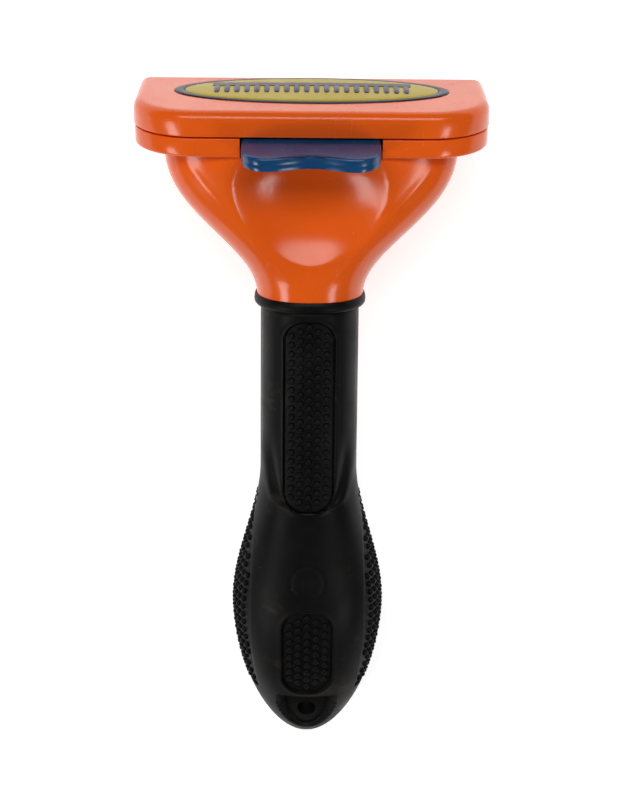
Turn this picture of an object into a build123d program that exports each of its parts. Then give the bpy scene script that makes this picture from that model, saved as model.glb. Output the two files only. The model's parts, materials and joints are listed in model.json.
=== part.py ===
from build123d import *
from math import atan2, copysign, cos, degrees, pi, radians, sin
import os

# Deshedding tool, millimetres.
# It is modelled upright: +Z out of the top cover, whose outer face is z = 0, +Y towards the blade,
# -Y towards the thumb button, X across the tool, and the handle below. At the end every piece is laid
# down together, as the tool rests on a table on the tips of its teeth and the back of its handle.

# ---- head, seen from above ----
head_width = 78.0            # cover at its widest
head_depth = 33.0            # cover, blade side to thumb side
head_taper = 0.4             # each side draws in by this much from the thumb side to the blade side
front_corner_radius = 14.0   # corners on the thumb side
back_corner_radius = 2.5     # corners on the blade side

# ---- head, heights ----
cover_height = 5.5
cover_round = 2.0            # rounded upper edge of the cover
cover_plate = 2.4            # thickness of the cover's top
cover_wall = 2.4             # thickness of the cover's skirt
seam_gap = 0.4               # open seam between cover and body
flange_height = 4.1
flange_inset = 0.2           # the body's flange stands back under the cover
flange_wall = 2.4
floor_thickness = 1.4        # floor of the flange under the ejector

# ---- funnel and neck ----
funnel_drop = 35.8           # flange's underside to the collar of the grip
funnel_width = 65.0
funnel_front = 15.3          # centre line to the thumb side, at the flange
funnel_back = 14.4           # centre line to the blade side, at the flange
funnel_bow = 1.16            # power of the funnel's side curve: the less, the sooner it draws in
funnel_wall = 2.4
neck_width = 24.2
neck_depth = 23.4
neck_offset = -1.0           # the neck stands this much towards the thumb side
neck_lean = 5.5              # degrees, towards the thumb side
scoop_width = 40.0           # thumb scoop in the front of the funnel
scoop_depth = 4.4
scoop_drop = 24.0            # scoop's centre below the cover's outer face

# ---- badge ----
badge_width = 61.0
badge_depth = 22.6
badge_offset = 3.0           # towards the blade side
badge_recess = 1.0
badge_rim_width = 1.5
badge_rim_proud = 0.25
badge_face_proud = 0.5
emblem_width = 42.0
emblem_height = 8.0
emblem_tines = 20
emblem_proud = 0.3

# ---- blade ----
blade_width = 67.3
blade_thickness = 0.9
blade_reach = 12.0           # teeth and plate beyond the cover
blade_inside = 17.5          # plate inside the head
blade_seat = 2.0             # height of the cover's seat that the blade lies against
tooth_pitch = 1.5
tooth_length = 6.0
tooth_gap = 0.7
blade_screw_spacing = 22.0
blade_screw_inside = 10.5    # screws behind the cover's blade side

# ---- ejector ----
travel = 9.0
slide_clearance = 0.15
carriage_thickness = 1.6
carriage_width = 66.4
carriage_length = 21.5
side_clearance = 0.2
runner_width = 1.6
bar_depth = 2.8
bar_height = 3.0
button_width = 29.8
button_reach = 11.2          # from the flange to the button's two lobes
button_hollow = 2.0          # the hollow between the lobes stands back by this
button_lobe = 9.6            # middle of the button to the middle of each lobe
button_corner = 5.6          # how far back each corner starts to round
button_root = 2.0            # part of the button behind the flange's face
button_drop = 0.15           # top of the button below the seam
button_thickness = 3.0
button_slope = 5.5           # degrees down towards the thumb
button_gap = 0.35            # round the button in its slot
button_edge = 0.8            # rounded edge of the button
prong_width = 3.0
prong_height = 1.2
prong_length = 4.0
tongue_width = 27.0
tongue_overlap = 1.0
bar_lip = 4.0                # foot of the bar that reaches in under the carriage
carriage_corner = 7.0
bar_edge = 0.6
bar_screw_spacing = (12.0, 29.0)
spring_centre = 17.0
spring_drop = 11.0           # spring's axis below the cover's outer face
spring_radius = 2.1          # to the wire's centre
spring_wire = 0.5
spring_turns = 7
spring_length = 15.0         # with the button out
post_radius = 1.3
post_length = 4.5
tab_thickness = 2.0
spring_seat_depth = 6.0      # the springs' fixed ends, behind the flange's blade side
tab_margin = 0.5             # tab and seat beyond the spring
slide_slot = 5.2             # slots in the carriage that the blade screws' heads stand in

# ---- grip ----
grip_length = 112.4          # along its centre line
grip_neck_width = 22.4
grip_neck_depth = 22.4
swell_width = 35.3
swell_depth = 28.6
swell_at = 0.668             # widest section, as a share of the grip's length
swell_start = 0.362          # where the sides start to open
tail_fullness = 1.82         # power on the distance past the swell: the more, the blunter the tail
tail_roundness = 0.57
tail_cut = 0.985             # share of the length at which the tail is cut flat
tail_lean = -3.0             # degrees at the tail
skin_thickness = 2.6
collar_height = 1.8
collar_proud = 1.2
pad_depth = 1.2
front_pad_width = 11.6
thumb_pad_start = 4.5        # below the collar
thumb_pad_length = 44.7
palm_pad_rise = 17.5         # tail end of the grip to the pad's end
palm_pad_length = 22.3
side_pad_rise = 16.4
side_pad_length = 54.0
side_panel_width = 27.6      # smooth panel between the side pads at its widest
side_panel_ends = 23.4
tail_scoop_rise = 15.8       # tail end of the grip to the half-moon's straight edge
tail_scoop_width = 14.4
tail_scoop_length = 11.2
tail_scoop_depth = 4.0       # at its straight edge
tail_scoop_slope = 10.0      # degrees, its floor falls towards the tail
hang_hole_radius = 2.2
hang_hole_rise = 9.8
tang_width = 13.0
tang_depth = 12.0
tang_length = 30.0
tang_pin_drop = 15.0
pin_radius = 1.5
pin_length = 16.0
core_margin = 1.0            # the core ends this far above the half-moon
fit = 0.05                   # radial clearance of pieces that are fitted together

# ---- screws ----
cover_screw_radius = 1.0
cover_screw_head = 1.9
cover_screw_inset = 3.2      # from the cover's widest line to the screws
blade_screw_radius = 1.1
blade_screw_head = 2.2
bar_screw_radius = 0.7
bar_screw_head = 1.3
cover_screw_bite = 3.4       # thread length in the plastic
blade_screw_bite = 2.9
bar_screw_seat = 0.9         # the bar screws' heads are sunk in the carriage
screw_head_height = 0.9

# ---- levels and lines worked out from the above ----
front = -head_depth / 2
back = head_depth / 2
cover_bottom = -cover_height
flange_top = cover_bottom - seam_gap
flange_bottom = flange_top - flange_height
flange_front = front + flange_inset
flange_back = back - flange_inset
floor_top = flange_bottom + floor_thickness
neck_end = flange_bottom - funnel_drop
blade_top = -cover_plate - blade_seat
blade_bottom = blade_top - blade_thickness
carriage_top = blade_bottom - slide_clearance
carriage_bottom = carriage_top - carriage_thickness
bar_bottom = carriage_top - bar_height
bar_front = flange_back - bar_depth
carriage_front = bar_front - carriage_length
slot_width = button_width + 2 * button_gap
screw_x = head_width / 2 - cover_screw_inset
root_end = flange_front + button_root
seat_face = flange_back - spring_seat_depth
tab_face = seat_face - spring_length
spring_outer = 2 * spring_radius + spring_wire + 2 * tab_margin
tab_bottom = -spring_drop - spring_outer / 2
button_fall = (button_reach + button_root) * sin(radians(button_slope))
slot_bottom = flange_top - button_drop - button_thickness - button_fall
slot_depth = button_root + travel + button_gap
tongue_end = root_end + button_thickness * sin(radians(button_slope)) + fit
tongue_thickness = bar_height - slide_clearance
prong_middle = carriage_top - tongue_thickness / 2
cover_screw_places = [(side * screw_x, y) for side in (-1, 1) for y in (-2.0, 9.0)]
blade_screw_y = back - blade_screw_inside
blade_screw_places = [(step * blade_screw_spacing, blade_screw_y) for step in (-1, 0, 1)]
pieces = []


def finished(piece, name):
    """Names a finished piece and keeps it for the export."""
    piece.part.label = name
    pieces.append(piece.part)


def head_outline(inset):
    """D-shaped outline of the head, drawn in by inset on every side."""
    half = head_width / 2 + head_taper * front_corner_radius / head_depth
    with BuildSketch(mode=Mode.PRIVATE) as outline:
        with BuildLine():
            Polyline(
                (-half, front), (half, front), (half - head_taper, back), (-half + head_taper, back), close=True
            )
        make_face()
        fillet(outline.vertices().group_by(Axis.Y)[0], front_corner_radius)
        fillet(outline.vertices().group_by(Axis.Y)[-1], back_corner_radius)
        if inset:
            offset(amount=-inset, mode=Mode.REPLACE)
    return outline.sketch


def smooth_step(value):
    """0 below 0, 1 above 1 and a smooth rise between them."""
    held = min(1.0, max(0.0, value))
    return held * held * (3 - 2 * held)


def round_section(plane, half_width, front_depth, back_depth, power):
    """Closed smooth outline on a plane: a superellipse with its own depth on each side."""
    count = 20
    points = []
    for step in range(count):
        turn = 2 * pi * step / count
        across = abs(cos(turn)) ** (2 / power) * copysign(half_width, cos(turn))
        depth = back_depth if sin(turn) > 0 else front_depth
        points.append((across, abs(sin(turn)) ** (2 / power) * copysign(depth, sin(turn))))
    with BuildSketch(plane, mode=Mode.PRIVATE) as section:
        with BuildLine():
            Spline(*points, periodic=True)
        make_face()
    return section.sketch


def leaning_plane(y, z, lean):
    """Plane across the tool at (y, z); its normal leans from +Z, by degrees, away from the thumb side."""
    tilt = radians(lean)
    return Plane(origin=(0, y, z), x_dir=(1, 0, 0), z_dir=(0, sin(tilt), cos(tilt)))


def funnel_open(share):
    """How far the funnel is open at a share of its height below the flange: 1 there, 0 at the neck."""
    return (1 + cos(pi * share ** funnel_bow)) / 2


def funnel_section(share, inset=0.0, front_inset=0.0):
    """Section of the funnel at a share of its height below the flange."""
    open_share = funnel_open(share)
    bend = smooth_step((share - 0.4) / 0.6)
    plane = leaning_plane(neck_offset * bend, flange_bottom - funnel_drop * share, neck_lean * bend)
    half = neck_width / 2 + (funnel_width - neck_width) / 2 * open_share
    front_depth = neck_depth / 2 + (funnel_front - neck_depth / 2) * open_share
    back_depth = neck_depth / 2 + (funnel_back - neck_depth / 2) * open_share
    power = 2.2 + 1.2 * open_share
    return round_section(plane, half - inset, front_depth - front_inset - inset, back_depth - inset, power)


# centre line of the grip: it leans with the neck and straightens towards the tail
def grip_lean(share):
    return neck_lean + (tail_lean - neck_lean) * smooth_step((share - 0.3) / 0.6)


grip_steps = 112
grip_line = [(neck_offset, neck_end)]
for step in range(grip_steps):
    lean_here = radians(grip_lean((step + 0.5) / grip_steps))
    last_y, last_z = grip_line[-1]
    run = grip_length / grip_steps
    grip_line.append((last_y - sin(lean_here) * run, last_z - cos(lean_here) * run))


def grip_plane(drop):
    """Plane across the grip at a distance along its centre line below the collar."""
    place = drop / grip_length * grip_steps
    index = min(int(place), grip_steps - 1)
    part_way = place - index
    y = grip_line[index][0] + (grip_line[index + 1][0] - grip_line[index][0]) * part_way
    z = grip_line[index][1] + (grip_line[index + 1][1] - grip_line[index][1]) * part_way
    return leaning_plane(y, z, grip_lean(drop / grip_length))


def grip_size(share):
    """Half width and half depth of the grip: the neck's, opening to the swell, then rounded off."""
    opened = smooth_step((share - swell_start) / (swell_at - swell_start))
    past = max(0.0, (share - swell_at) / (1 - swell_at))
    closed = (1 - past ** tail_fullness) ** tail_roundness
    width = grip_neck_width + (swell_width - grip_neck_width) * opened
    depth = grip_neck_depth + (swell_depth - grip_neck_depth) * opened
    return width / 2 * closed, depth / 2 * closed


def grip_solid(inset, start, end):
    """Solid inside the grip's outer surface, drawn in by inset, between two drops below the collar."""
    count = 10
    sections = []
    for step in range(count + 1):
        drop = start + (end - start) * sin(pi / 2 * step / count)
        half_width, half_depth = grip_size(drop / grip_length)
        sections.append(
            round_section(grip_plane(drop), half_width - inset, half_depth - inset, half_depth - inset, 2.2)
        )
    with BuildPart(mode=Mode.PRIVATE) as solid:
        loft(sections=sections)
    return solid.part


# ---- top cover: a plate with a skirt, a seat for the blade, screw bosses and the badge's recess ----
with BuildPart() as top_cover:
    with BuildSketch(Plane.XY.offset(cover_bottom)):
        add(head_outline(0))
    extrude(amount=cover_height)
    fillet(top_cover.faces().sort_by(Axis.Z)[-1].edges(), cover_round)
    with BuildSketch(Plane.XY.offset(cover_bottom)):
        add(head_outline(cover_wall))
    extrude(amount=cover_height - cover_plate, mode=Mode.SUBTRACT)
    with BuildSketch(Plane.XY.offset(blade_top)):
        add(head_outline(cover_wall / 2))
        with Locations((0, back)):
            Rectangle(head_width, 2 * blade_inside, mode=Mode.INTERSECT)
    extrude(amount=blade_seat)
    with BuildSketch(Plane.XY.offset(flange_top)):
        with Locations(*cover_screw_places):
            Circle(cover_screw_radius + 1.2)
    extrude(amount=-cover_plate - flange_top)
    with BuildSketch(Plane.XY.offset(cover_bottom)):
        with Locations((0, back)):
            Rectangle(blade_width + 2 * side_clearance, 2 * blade_inside)
    extrude(amount=blade_top - cover_bottom, mode=Mode.SUBTRACT)
    with BuildSketch(Plane.XY.offset(-badge_recess)):
        with Locations((0, badge_offset)):
            Ellipse(badge_width / 2, badge_depth / 2)
    extrude(amount=badge_recess, mode=Mode.SUBTRACT)
    with BuildSketch(Plane.XY.offset(flange_top)):
        with Locations(*cover_screw_places):
            Circle(cover_screw_radius)
    extrude(amount=cover_screw_bite, mode=Mode.SUBTRACT)
    with BuildSketch(Plane.XY.offset(blade_top)):
        with Locations(*blade_screw_places):
            Circle(blade_screw_radius)
    extrude(amount=blade_screw_bite, mode=Mode.SUBTRACT)
finished(top_cover, "top_cover")

# ---- blade: a steel plate with a row of slots that leaves the teeth, and its screws ----
with BuildPart() as blade:
    with BuildSketch(Plane.XY.offset(blade_bottom)):
        with Locations((0, back + (blade_reach - blade_inside) / 2)):
            Rectangle(blade_width, blade_reach + blade_inside)
        tooth_slots = int(blade_width / tooth_pitch) - 1
        with Locations((0, back + blade_reach)):
            with GridLocations(tooth_pitch, 0, tooth_slots, 1):
                SlotOverall(2 * tooth_length, tooth_gap, rotation=90, mode=Mode.SUBTRACT)
        with Locations(*blade_screw_places):
            Circle(blade_screw_radius + fit, mode=Mode.SUBTRACT)
    extrude(amount=blade_thickness)
finished(blade, "blade")

with BuildPart() as blade_screws:
    with BuildSketch(Plane.XY.offset(blade_bottom - screw_head_height)):
        with Locations(*blade_screw_places):
            Circle(blade_screw_head)
    extrude(amount=screw_head_height)
    with BuildSketch(Plane.XY.offset(blade_bottom)):
        with Locations(*blade_screw_places):
            Circle(blade_screw_radius)
    extrude(amount=blade_thickness + blade_screw_bite)
    with BuildSketch(Plane.XY.offset(blade_bottom - screw_head_height)):
        with Locations(*blade_screw_places):
            RegularPolygon(blade_screw_head / 2, 6)
    extrude(amount=screw_head_height * 0.6, mode=Mode.SUBTRACT)
finished(blade_screws, "blade_screws")

# ---- badge: a dark rim, a slightly crowned plate and a raised comb on it ----
with BuildPart() as badge_rim:
    with BuildSketch(Plane.XY.offset(-badge_recess)):
        with Locations((0, badge_offset)):
            Ellipse(badge_width / 2 - fit, badge_depth / 2 - fit)
            Ellipse(
                badge_width / 2 - fit - badge_rim_width, badge_depth / 2 - fit - badge_rim_width, mode=Mode.SUBTRACT
            )
    extrude(amount=badge_recess + badge_rim_proud)
    fillet(badge_rim.faces().sort_by(Axis.Z)[-1].edges(), badge_rim_proud)
finished(badge_rim, "badge_rim")

with BuildPart() as badge_face:
    with BuildSketch(Plane.XY.offset(-badge_recess)):
        with Locations((0, badge_offset)):
            Ellipse(badge_width / 2 - badge_rim_width - 2 * fit, badge_depth / 2 - badge_rim_width - 2 * fit)
    extrude(amount=badge_recess + badge_face_proud)
    fillet(badge_face.faces().sort_by(Axis.Z)[-1].edges(), badge_face_proud)
finished(badge_face, "badge_face")

with BuildPart() as badge_emblem:
    with BuildSketch(Plane.XY.offset(badge_face_proud)):
        spine_height = emblem_height / 3
        with Locations((0, badge_offset + emblem_height / 3)):
            RectangleRounded(emblem_width, spine_height, spine_height / 2.2)
        with Locations((0, badge_offset - spine_height / 2)):
            with GridLocations(emblem_width / (emblem_tines + 1), 0, emblem_tines, 1):
                SlotOverall(emblem_height * 0.8, emblem_width / emblem_tines / 2.4, rotation=90)
    extrude(amount=emblem_proud)
finished(badge_emblem, "badge_emblem")

# ---- head body: flange, funnel and neck, hollow inside, with a tang for the grip ----
scoop_open = funnel_open((-flange_bottom - scoop_drop) / -funnel_drop)
scoop_face = -neck_depth / 2 - (funnel_front - neck_depth / 2) * scoop_open
scoop_ball = (scoop_width ** 2 / 4 + scoop_depth ** 2) / (2 * scoop_depth)
neck_plane = leaning_plane(neck_offset, neck_end, neck_lean)
tang_pin_plane = Plane(origin=grip_plane(tang_pin_drop).origin, x_dir=(0, 1, 0), z_dir=(1, 0, 0))
with BuildPart() as head_body:
    loft(sections=[funnel_section(step / 10) for step in range(11)])
    with Locations((0, scoop_face - scoop_ball + scoop_depth, -scoop_drop)):
        Sphere(scoop_ball, mode=Mode.SUBTRACT)
    with BuildSketch(Plane.XY.offset(flange_bottom)):
        add(head_outline(flange_inset))
    extrude(amount=flange_height)
    with BuildSketch(neck_plane):
        RectangleRounded(tang_width, tang_depth, tang_depth / 4)
    extrude(amount=-tang_length)
    # room for the carriage and the bar
    with BuildSketch(Plane.XY.offset(floor_top)):
        add(head_outline(flange_inset + flange_wall))
        Rectangle(carriage_width + 2 * side_clearance, head_depth, mode=Mode.INTERSECT)
    extrude(amount=flange_height, mode=Mode.SUBTRACT)
    with BuildSketch(Plane.XY.offset(floor_top)):
        with Locations((0, back)):
            Rectangle(carriage_width + 2 * side_clearance, head_depth)
    extrude(amount=flange_height, mode=Mode.SUBTRACT)
    # the hollow of the funnel, with seats for the two return springs
    with BuildSketch(Plane.XY.offset(flange_bottom)):
        add(funnel_section(0, funnel_wall, scoop_depth))
    extrude(amount=floor_thickness, mode=Mode.SUBTRACT)
    loft(
        sections=[funnel_section(step / 10, funnel_wall, scoop_depth) for step in range(8)], mode=Mode.SUBTRACT
    )
    with BuildSketch(Plane.XY.offset(floor_top)):
        with Locations((-spring_centre, seat_face), (spring_centre, seat_face)):
            Rectangle(spring_outer, funnel_wall, align=(Align.CENTER, Align.MIN))
    extrude(amount=tab_bottom - floor_top)
    # slot for the button, open at the seam
    with BuildSketch(Plane.XY.offset(slot_bottom)):
        with Locations((0, front)):
            Rectangle(slot_width, 2 * slot_depth)
    extrude(amount=flange_top - slot_bottom, mode=Mode.SUBTRACT)
    # holes for the cover screws, with seats for their heads under the flange
    with BuildSketch(Plane.XY.offset(flange_bottom)):
        with Locations(*cover_screw_places):
            Circle(cover_screw_radius + fit)
    extrude(amount=flange_height, mode=Mode.SUBTRACT)
    with BuildSketch(Plane.XY.offset(flange_bottom)):
        with Locations(*cover_screw_places):
            Circle(cover_screw_head + fit)
    extrude(amount=screw_head_height, mode=Mode.SUBTRACT)
    with BuildSketch(tang_pin_plane):
        Circle(pin_radius)
    extrude(amount=tang_width, both=True, mode=Mode.SUBTRACT)
finished(head_body, "head_body")

with BuildPart() as cover_screws:
    with BuildSketch(Plane.XY.offset(flange_bottom)):
        with Locations(*cover_screw_places):
            Circle(cover_screw_head)
    extrude(amount=screw_head_height)
    with BuildSketch(Plane.XY.offset(flange_bottom + screw_head_height)):
        with Locations(*cover_screw_places):
            Circle(cover_screw_radius)
    extrude(amount=flange_height - screw_head_height + cover_screw_bite)
    with BuildSketch(Plane.XY.offset(flange_bottom)):
        with Locations(*cover_screw_places):
            RegularPolygon(cover_screw_head / 2, 6)
    extrude(amount=screw_head_height * 0.6, mode=Mode.SUBTRACT)
finished(cover_screws, "cover_screws")

# ---- ejector: carriage, bar and its screws, thumb button, return springs ----
bar_screw_places = [(side * x, bar_front - bar_lip / 2) for side in (-1, 1) for x in bar_screw_spacing]
with BuildPart() as ejector_carriage:
    with BuildSketch(Plane.XY.offset(carriage_bottom)) as plate_sketch:
        with Locations((0, bar_front)):
            Rectangle(carriage_width, carriage_length, align=(Align.CENTER, Align.MAX))
        fillet(plate_sketch.vertices().group_by(Axis.Y)[0], carriage_corner)
        with Locations(*[(x, y - travel / 2) for x, y in blade_screw_places]):
            SlotOverall(travel + slide_slot, slide_slot, rotation=90, mode=Mode.SUBTRACT)
    extrude(amount=carriage_thickness)
    runner_length = carriage_length - carriage_corner - bar_lip - fit
    with BuildSketch(Plane.XY.offset(bar_bottom)):
        for side in (-1, 1):
            with Locations((side * (carriage_width - runner_width) / 2, bar_front - bar_lip - fit)):
                Rectangle(runner_width, runner_length, align=(Align.CENTER, Align.MAX))
    extrude(amount=carriage_bottom - bar_bottom)
    with BuildSketch(Plane.XY.offset(tab_bottom)):
        with Locations((-spring_centre, tab_face), (spring_centre, tab_face)):
            Rectangle(spring_outer, tab_thickness, align=(Align.CENTER, Align.MAX))
    extrude(amount=carriage_bottom - tab_bottom)
    with BuildSketch(Plane(origin=(0, tab_face, -spring_drop), x_dir=(1, 0, 0), z_dir=(0, 1, 0))):
        with Locations((-spring_centre, 0), (spring_centre, 0)):
            Circle(post_radius)
    extrude(amount=post_length)
    # tongue that carries the button
    with BuildSketch(Plane.XY.offset(carriage_top - tongue_thickness)):
        with Locations((0, tongue_end)):
            Rectangle(tongue_width, carriage_front + tongue_overlap - tongue_end, align=(Align.CENTER, Align.MIN))
    extrude(amount=tongue_thickness)
    with BuildSketch(Plane.XY.offset(prong_middle - prong_height / 2 - fit)):
        for side in (-1, 1):
            with Locations((side * tongue_width / 4, tongue_end)):
                Rectangle(prong_width + 2 * fit, prong_length, align=(Align.CENTER, Align.MIN))
    extrude(amount=prong_height + 2 * fit, mode=Mode.SUBTRACT)
    with BuildSketch(Plane.XY.offset(carriage_bottom)):
        with Locations(*bar_screw_places):
            Circle(bar_screw_radius + fit)
    extrude(amount=carriage_thickness, mode=Mode.SUBTRACT)
    with BuildSketch(Plane.XY.offset(carriage_top)):
        with Locations(*bar_screw_places):
            Circle(bar_screw_head + fit)
    extrude(amount=-bar_screw_seat, mode=Mode.SUBTRACT)
finished(ejector_carriage, "ejector_carriage")

with BuildPart() as ejector_bar:
    with BuildSketch(Plane.XY.offset(bar_bottom)):
        with Locations((0, bar_front)):
            Rectangle(carriage_width, bar_depth, align=(Align.CENTER, Align.MIN))
    extrude(amount=bar_height)
    fillet(ejector_bar.faces().sort_by(Axis.Y)[-1].edges().filter_by(Axis.X), bar_edge)
    with BuildSketch(Plane.XY.offset(bar_bottom)):
        with Locations((0, bar_front)):
            Rectangle(carriage_width, bar_lip, align=(Align.CENTER, Align.MAX))
        with Locations(*bar_screw_places):
            Circle(bar_screw_radius, mode=Mode.SUBTRACT)
    extrude(amount=carriage_bottom - bar_bottom)
finished(ejector_bar, "ejector_bar")

with BuildPart() as bar_screws:
    with BuildSketch(Plane.XY.offset(carriage_top - bar_screw_seat)):
        with Locations(*bar_screw_places):
            Circle(bar_screw_head)
            RegularPolygon(bar_screw_head / 2, 6, mode=Mode.SUBTRACT)
    extrude(amount=bar_screw_seat - slide_clearance)
    with BuildSketch(Plane.XY.offset(bar_bottom + slide_clearance)):
        with Locations(*bar_screw_places):
            Circle(bar_screw_radius)
    extrude(amount=carriage_top - bar_screw_seat / 2 - bar_bottom - slide_clearance)
finished(bar_screws, "bar_screws")

slope = radians(button_slope)
button_plane = Plane(
    origin=(0, flange_front, flange_top - button_drop), x_dir=(-1, 0, 0), z_dir=(0, -sin(slope), cos(slope))
)
with BuildPart() as thumb_button:
    with BuildSketch(button_plane):
        with BuildLine():
            half_button = button_width / 2
            Polyline(
                (-half_button, button_reach - button_corner), (-half_button, -button_root),
                (half_button, -button_root), (half_button, button_reach - button_corner),
            )
            Spline(
                (half_button, button_reach - button_corner),
                (button_lobe, button_reach),
                (0, button_reach - button_hollow),
                (-button_lobe, button_reach),
                (-half_button, button_reach - button_corner),
                tangents=((0, 1), (0, -1)),
            )
        make_face()
    extrude(amount=-button_thickness)
    fillet(thumb_button.faces().sort_by(Axis.Z)[-1].edges().group_by(Axis.Y)[0], button_edge)
    with BuildSketch(Plane.XY.offset(prong_middle - prong_height / 2)):
        for side in (-1, 1):
            with Locations((side * tongue_width / 4, root_end)):
                Rectangle(prong_width, prong_length)
    extrude(amount=prong_height)
finished(thumb_button, "thumb_button")

for side, side_name in ((-1, "left"), (1, "right")):
    wire_start = tab_face + spring_wire / 2
    with BuildPart() as return_spring:
        with BuildLine() as coil:
            Helix(
                (spring_length - spring_wire) / spring_turns,
                spring_length - spring_wire,
                spring_radius,
                center=(side * spring_centre, wire_start, -spring_drop),
                direction=(0, 1, 0),
            )
        with BuildSketch(Plane(origin=coil.line @ 0, z_dir=coil.line % 0)):
            Circle(spring_wire / 2)
        sweep(is_frenet=True)
    finished(return_spring, f"return_spring_{side_name}")

# ---- grip: rigid core, pads and the rubber skin round them ----
grip_end = grip_length * tail_cut
core_end = grip_length - tail_scoop_rise - core_margin
grip_outer = grip_solid(0, 0, grip_end)
pad_floor = grip_solid(pad_depth, 0, grip_length - 2 * pad_depth - 1.5)
core_shape = grip_solid(skin_thickness, 0, core_end)

with BuildPart() as handle_core:
    add(core_shape)
    with BuildSketch(neck_plane):
        RectangleRounded(tang_width + 2 * fit, tang_depth + 2 * fit, tang_depth / 4)
    extrude(amount=-tang_length - 2 * fit, mode=Mode.SUBTRACT)
    with BuildSketch(tang_pin_plane):
        Circle(pin_radius)
    extrude(amount=pin_length / 2, both=True, mode=Mode.SUBTRACT)
finished(handle_core, "handle_core")

with BuildPart() as tang_pin:
    with BuildSketch(tang_pin_plane):
        Circle(pin_radius)
    extrude(amount=pin_length / 2, both=True)
finished(tang_pin, "tang_pin")


def front_pad(width, start, length):
    """Pad let into the thumb side of the grip, with rounded ends, as deep as the pads' floor."""
    middle = grip_plane(start + length / 2).origin
    top_z = grip_plane(start).origin.Z
    bottom_z = grip_plane(start + length).origin.Z
    with BuildPart() as pad:
        with BuildSketch(Plane(origin=(0, middle.Y, (top_z + bottom_z) / 2), x_dir=(1, 0, 0), z_dir=(0, -1, 0))):
            RectangleRounded(width, top_z - bottom_z, width * 0.4)
        extrude(amount=swell_depth)
        add(grip_outer, mode=Mode.INTERSECT)
        add(pad_floor, mode=Mode.SUBTRACT)
    return pad


thumb_pad = front_pad(front_pad_width, thumb_pad_start, thumb_pad_length)
finished(thumb_pad, "thumb_pad")
palm_pad = front_pad(front_pad_width, grip_length - palm_pad_rise - palm_pad_length, palm_pad_length)
finished(palm_pad, "palm_pad")

side_top = grip_plane(grip_length - side_pad_rise - side_pad_length).origin.Z
side_bottom = grip_plane(grip_length - side_pad_rise).origin.Z
side_pads = []
for side, side_name in ((-1, "left"), (1, "right")):
    with BuildPart() as side_pad:
        with BuildSketch(Plane(origin=(0, 0, 0), x_dir=(1, 0, 0), z_dir=(0, -1, 0))):
            with BuildLine():
                ThreePointArc(
                    (side * side_panel_ends / 2, side_top),
                    (side * side_panel_width / 2, grip_plane(swell_at * grip_length + 2.0).origin.Z),
                    (side * side_panel_ends / 2, side_bottom),
                )
                Polyline(
                    (side * side_panel_ends / 2, side_bottom), (side * swell_width, side_bottom),
                    (side * swell_width, side_top), (side * side_panel_ends / 2, side_top),
                )
            make_face()
        extrude(amount=2 * swell_depth, both=True)
        add(grip_outer, mode=Mode.INTERSECT)
        add(pad_floor, mode=Mode.SUBTRACT)
    finished(side_pad, f"side_pad_{side_name}")
    side_pads.append(side_pad.part)

scoop_plane = grip_plane(grip_length - tail_scoop_rise)
hole_plane = grip_plane(grip_length - hang_hole_rise)
hole_plane = Plane(origin=hole_plane.origin, x_dir=(1, 0, 0), z_dir=-hole_plane.y_dir)
tail_half_depth = grip_size(1 - tail_scoop_rise / grip_length)[1]
scoop_floor = Plane(origin=scoop_plane.origin, x_dir=(1, 0, 0), z_dir=-scoop_plane.y_dir).offset(
    tail_half_depth - tail_scoop_depth
).rotated((tail_scoop_slope, 0, 0))
with BuildPart() as grip_skin:
    add(grip_outer)
    # collar lip round the neck
    loft(
        sections=[
            round_section(neck_plane, neck_width / 2 + lip, neck_depth / 2 + lip, neck_depth / 2 + lip, 2.2)
            .moved(Location(-neck_plane.z_dir * drop))
            for drop, lip in ((0, collar_proud / 4), (collar_height / 2, collar_proud / 2), (collar_height, 0))
        ]
    )
    add(core_shape, mode=Mode.SUBTRACT)
    add([thumb_pad.part, palm_pad.part, *side_pads], mode=Mode.SUBTRACT)
    with BuildSketch(scoop_floor):
        Ellipse(tail_scoop_width / 2, tail_scoop_length)
        Rectangle(tail_scoop_width, tail_scoop_length, align=(Align.CENTER, Align.MIN), mode=Mode.SUBTRACT)
    extrude(amount=tail_half_depth, mode=Mode.SUBTRACT)
    with BuildSketch(hole_plane):
        Circle(hang_hole_radius)
    extrude(amount=swell_depth, both=True, mode=Mode.SUBTRACT)
finished(grip_skin, "grip_skin")

# ---- laying the tool down on the tips of its teeth and the back of its grip ----
tilts = []
for step in range(1, 200):
    share = step / 200
    plane_here = grip_plane(share * grip_length)
    behind = plane_here.origin + plane_here.y_dir * grip_size(share)[1]
    tilts.append(atan2(back + blade_reach - behind.Y, blade_bottom - behind.Z))
rest_tilt = min(tilts)
laid = Location((0, 0, 0), (degrees(rest_tilt) - 90, 0, 0))
for piece in pieces:
    piece.move(laid)
whole = Compound(children=[Compound(piece.wrapped) for piece in pieces]).bounding_box()
settled = Location((-whole.center().X, -whole.center().Y, -whole.min.Z))
os.makedirs("parts", exist_ok=True)
for piece in pieces:
    piece.move(settled)
    export_step(piece, f"parts/{piece.label}.step")

placed = settled * laid
print("size", whole.size)
print("rest tilt", degrees(rest_tilt))
for name, plane in (("hang hole", hole_plane), ("cover", Plane.XY), ("button", button_plane)):
    there = Plane(placed * plane.location)
    print(name, there.origin, there.z_dir, there.y_dir)
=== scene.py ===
import json
from math import cos, pi, radians, sin, tau
import bpy
import numpy as np
from mathutils import Matrix


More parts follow.
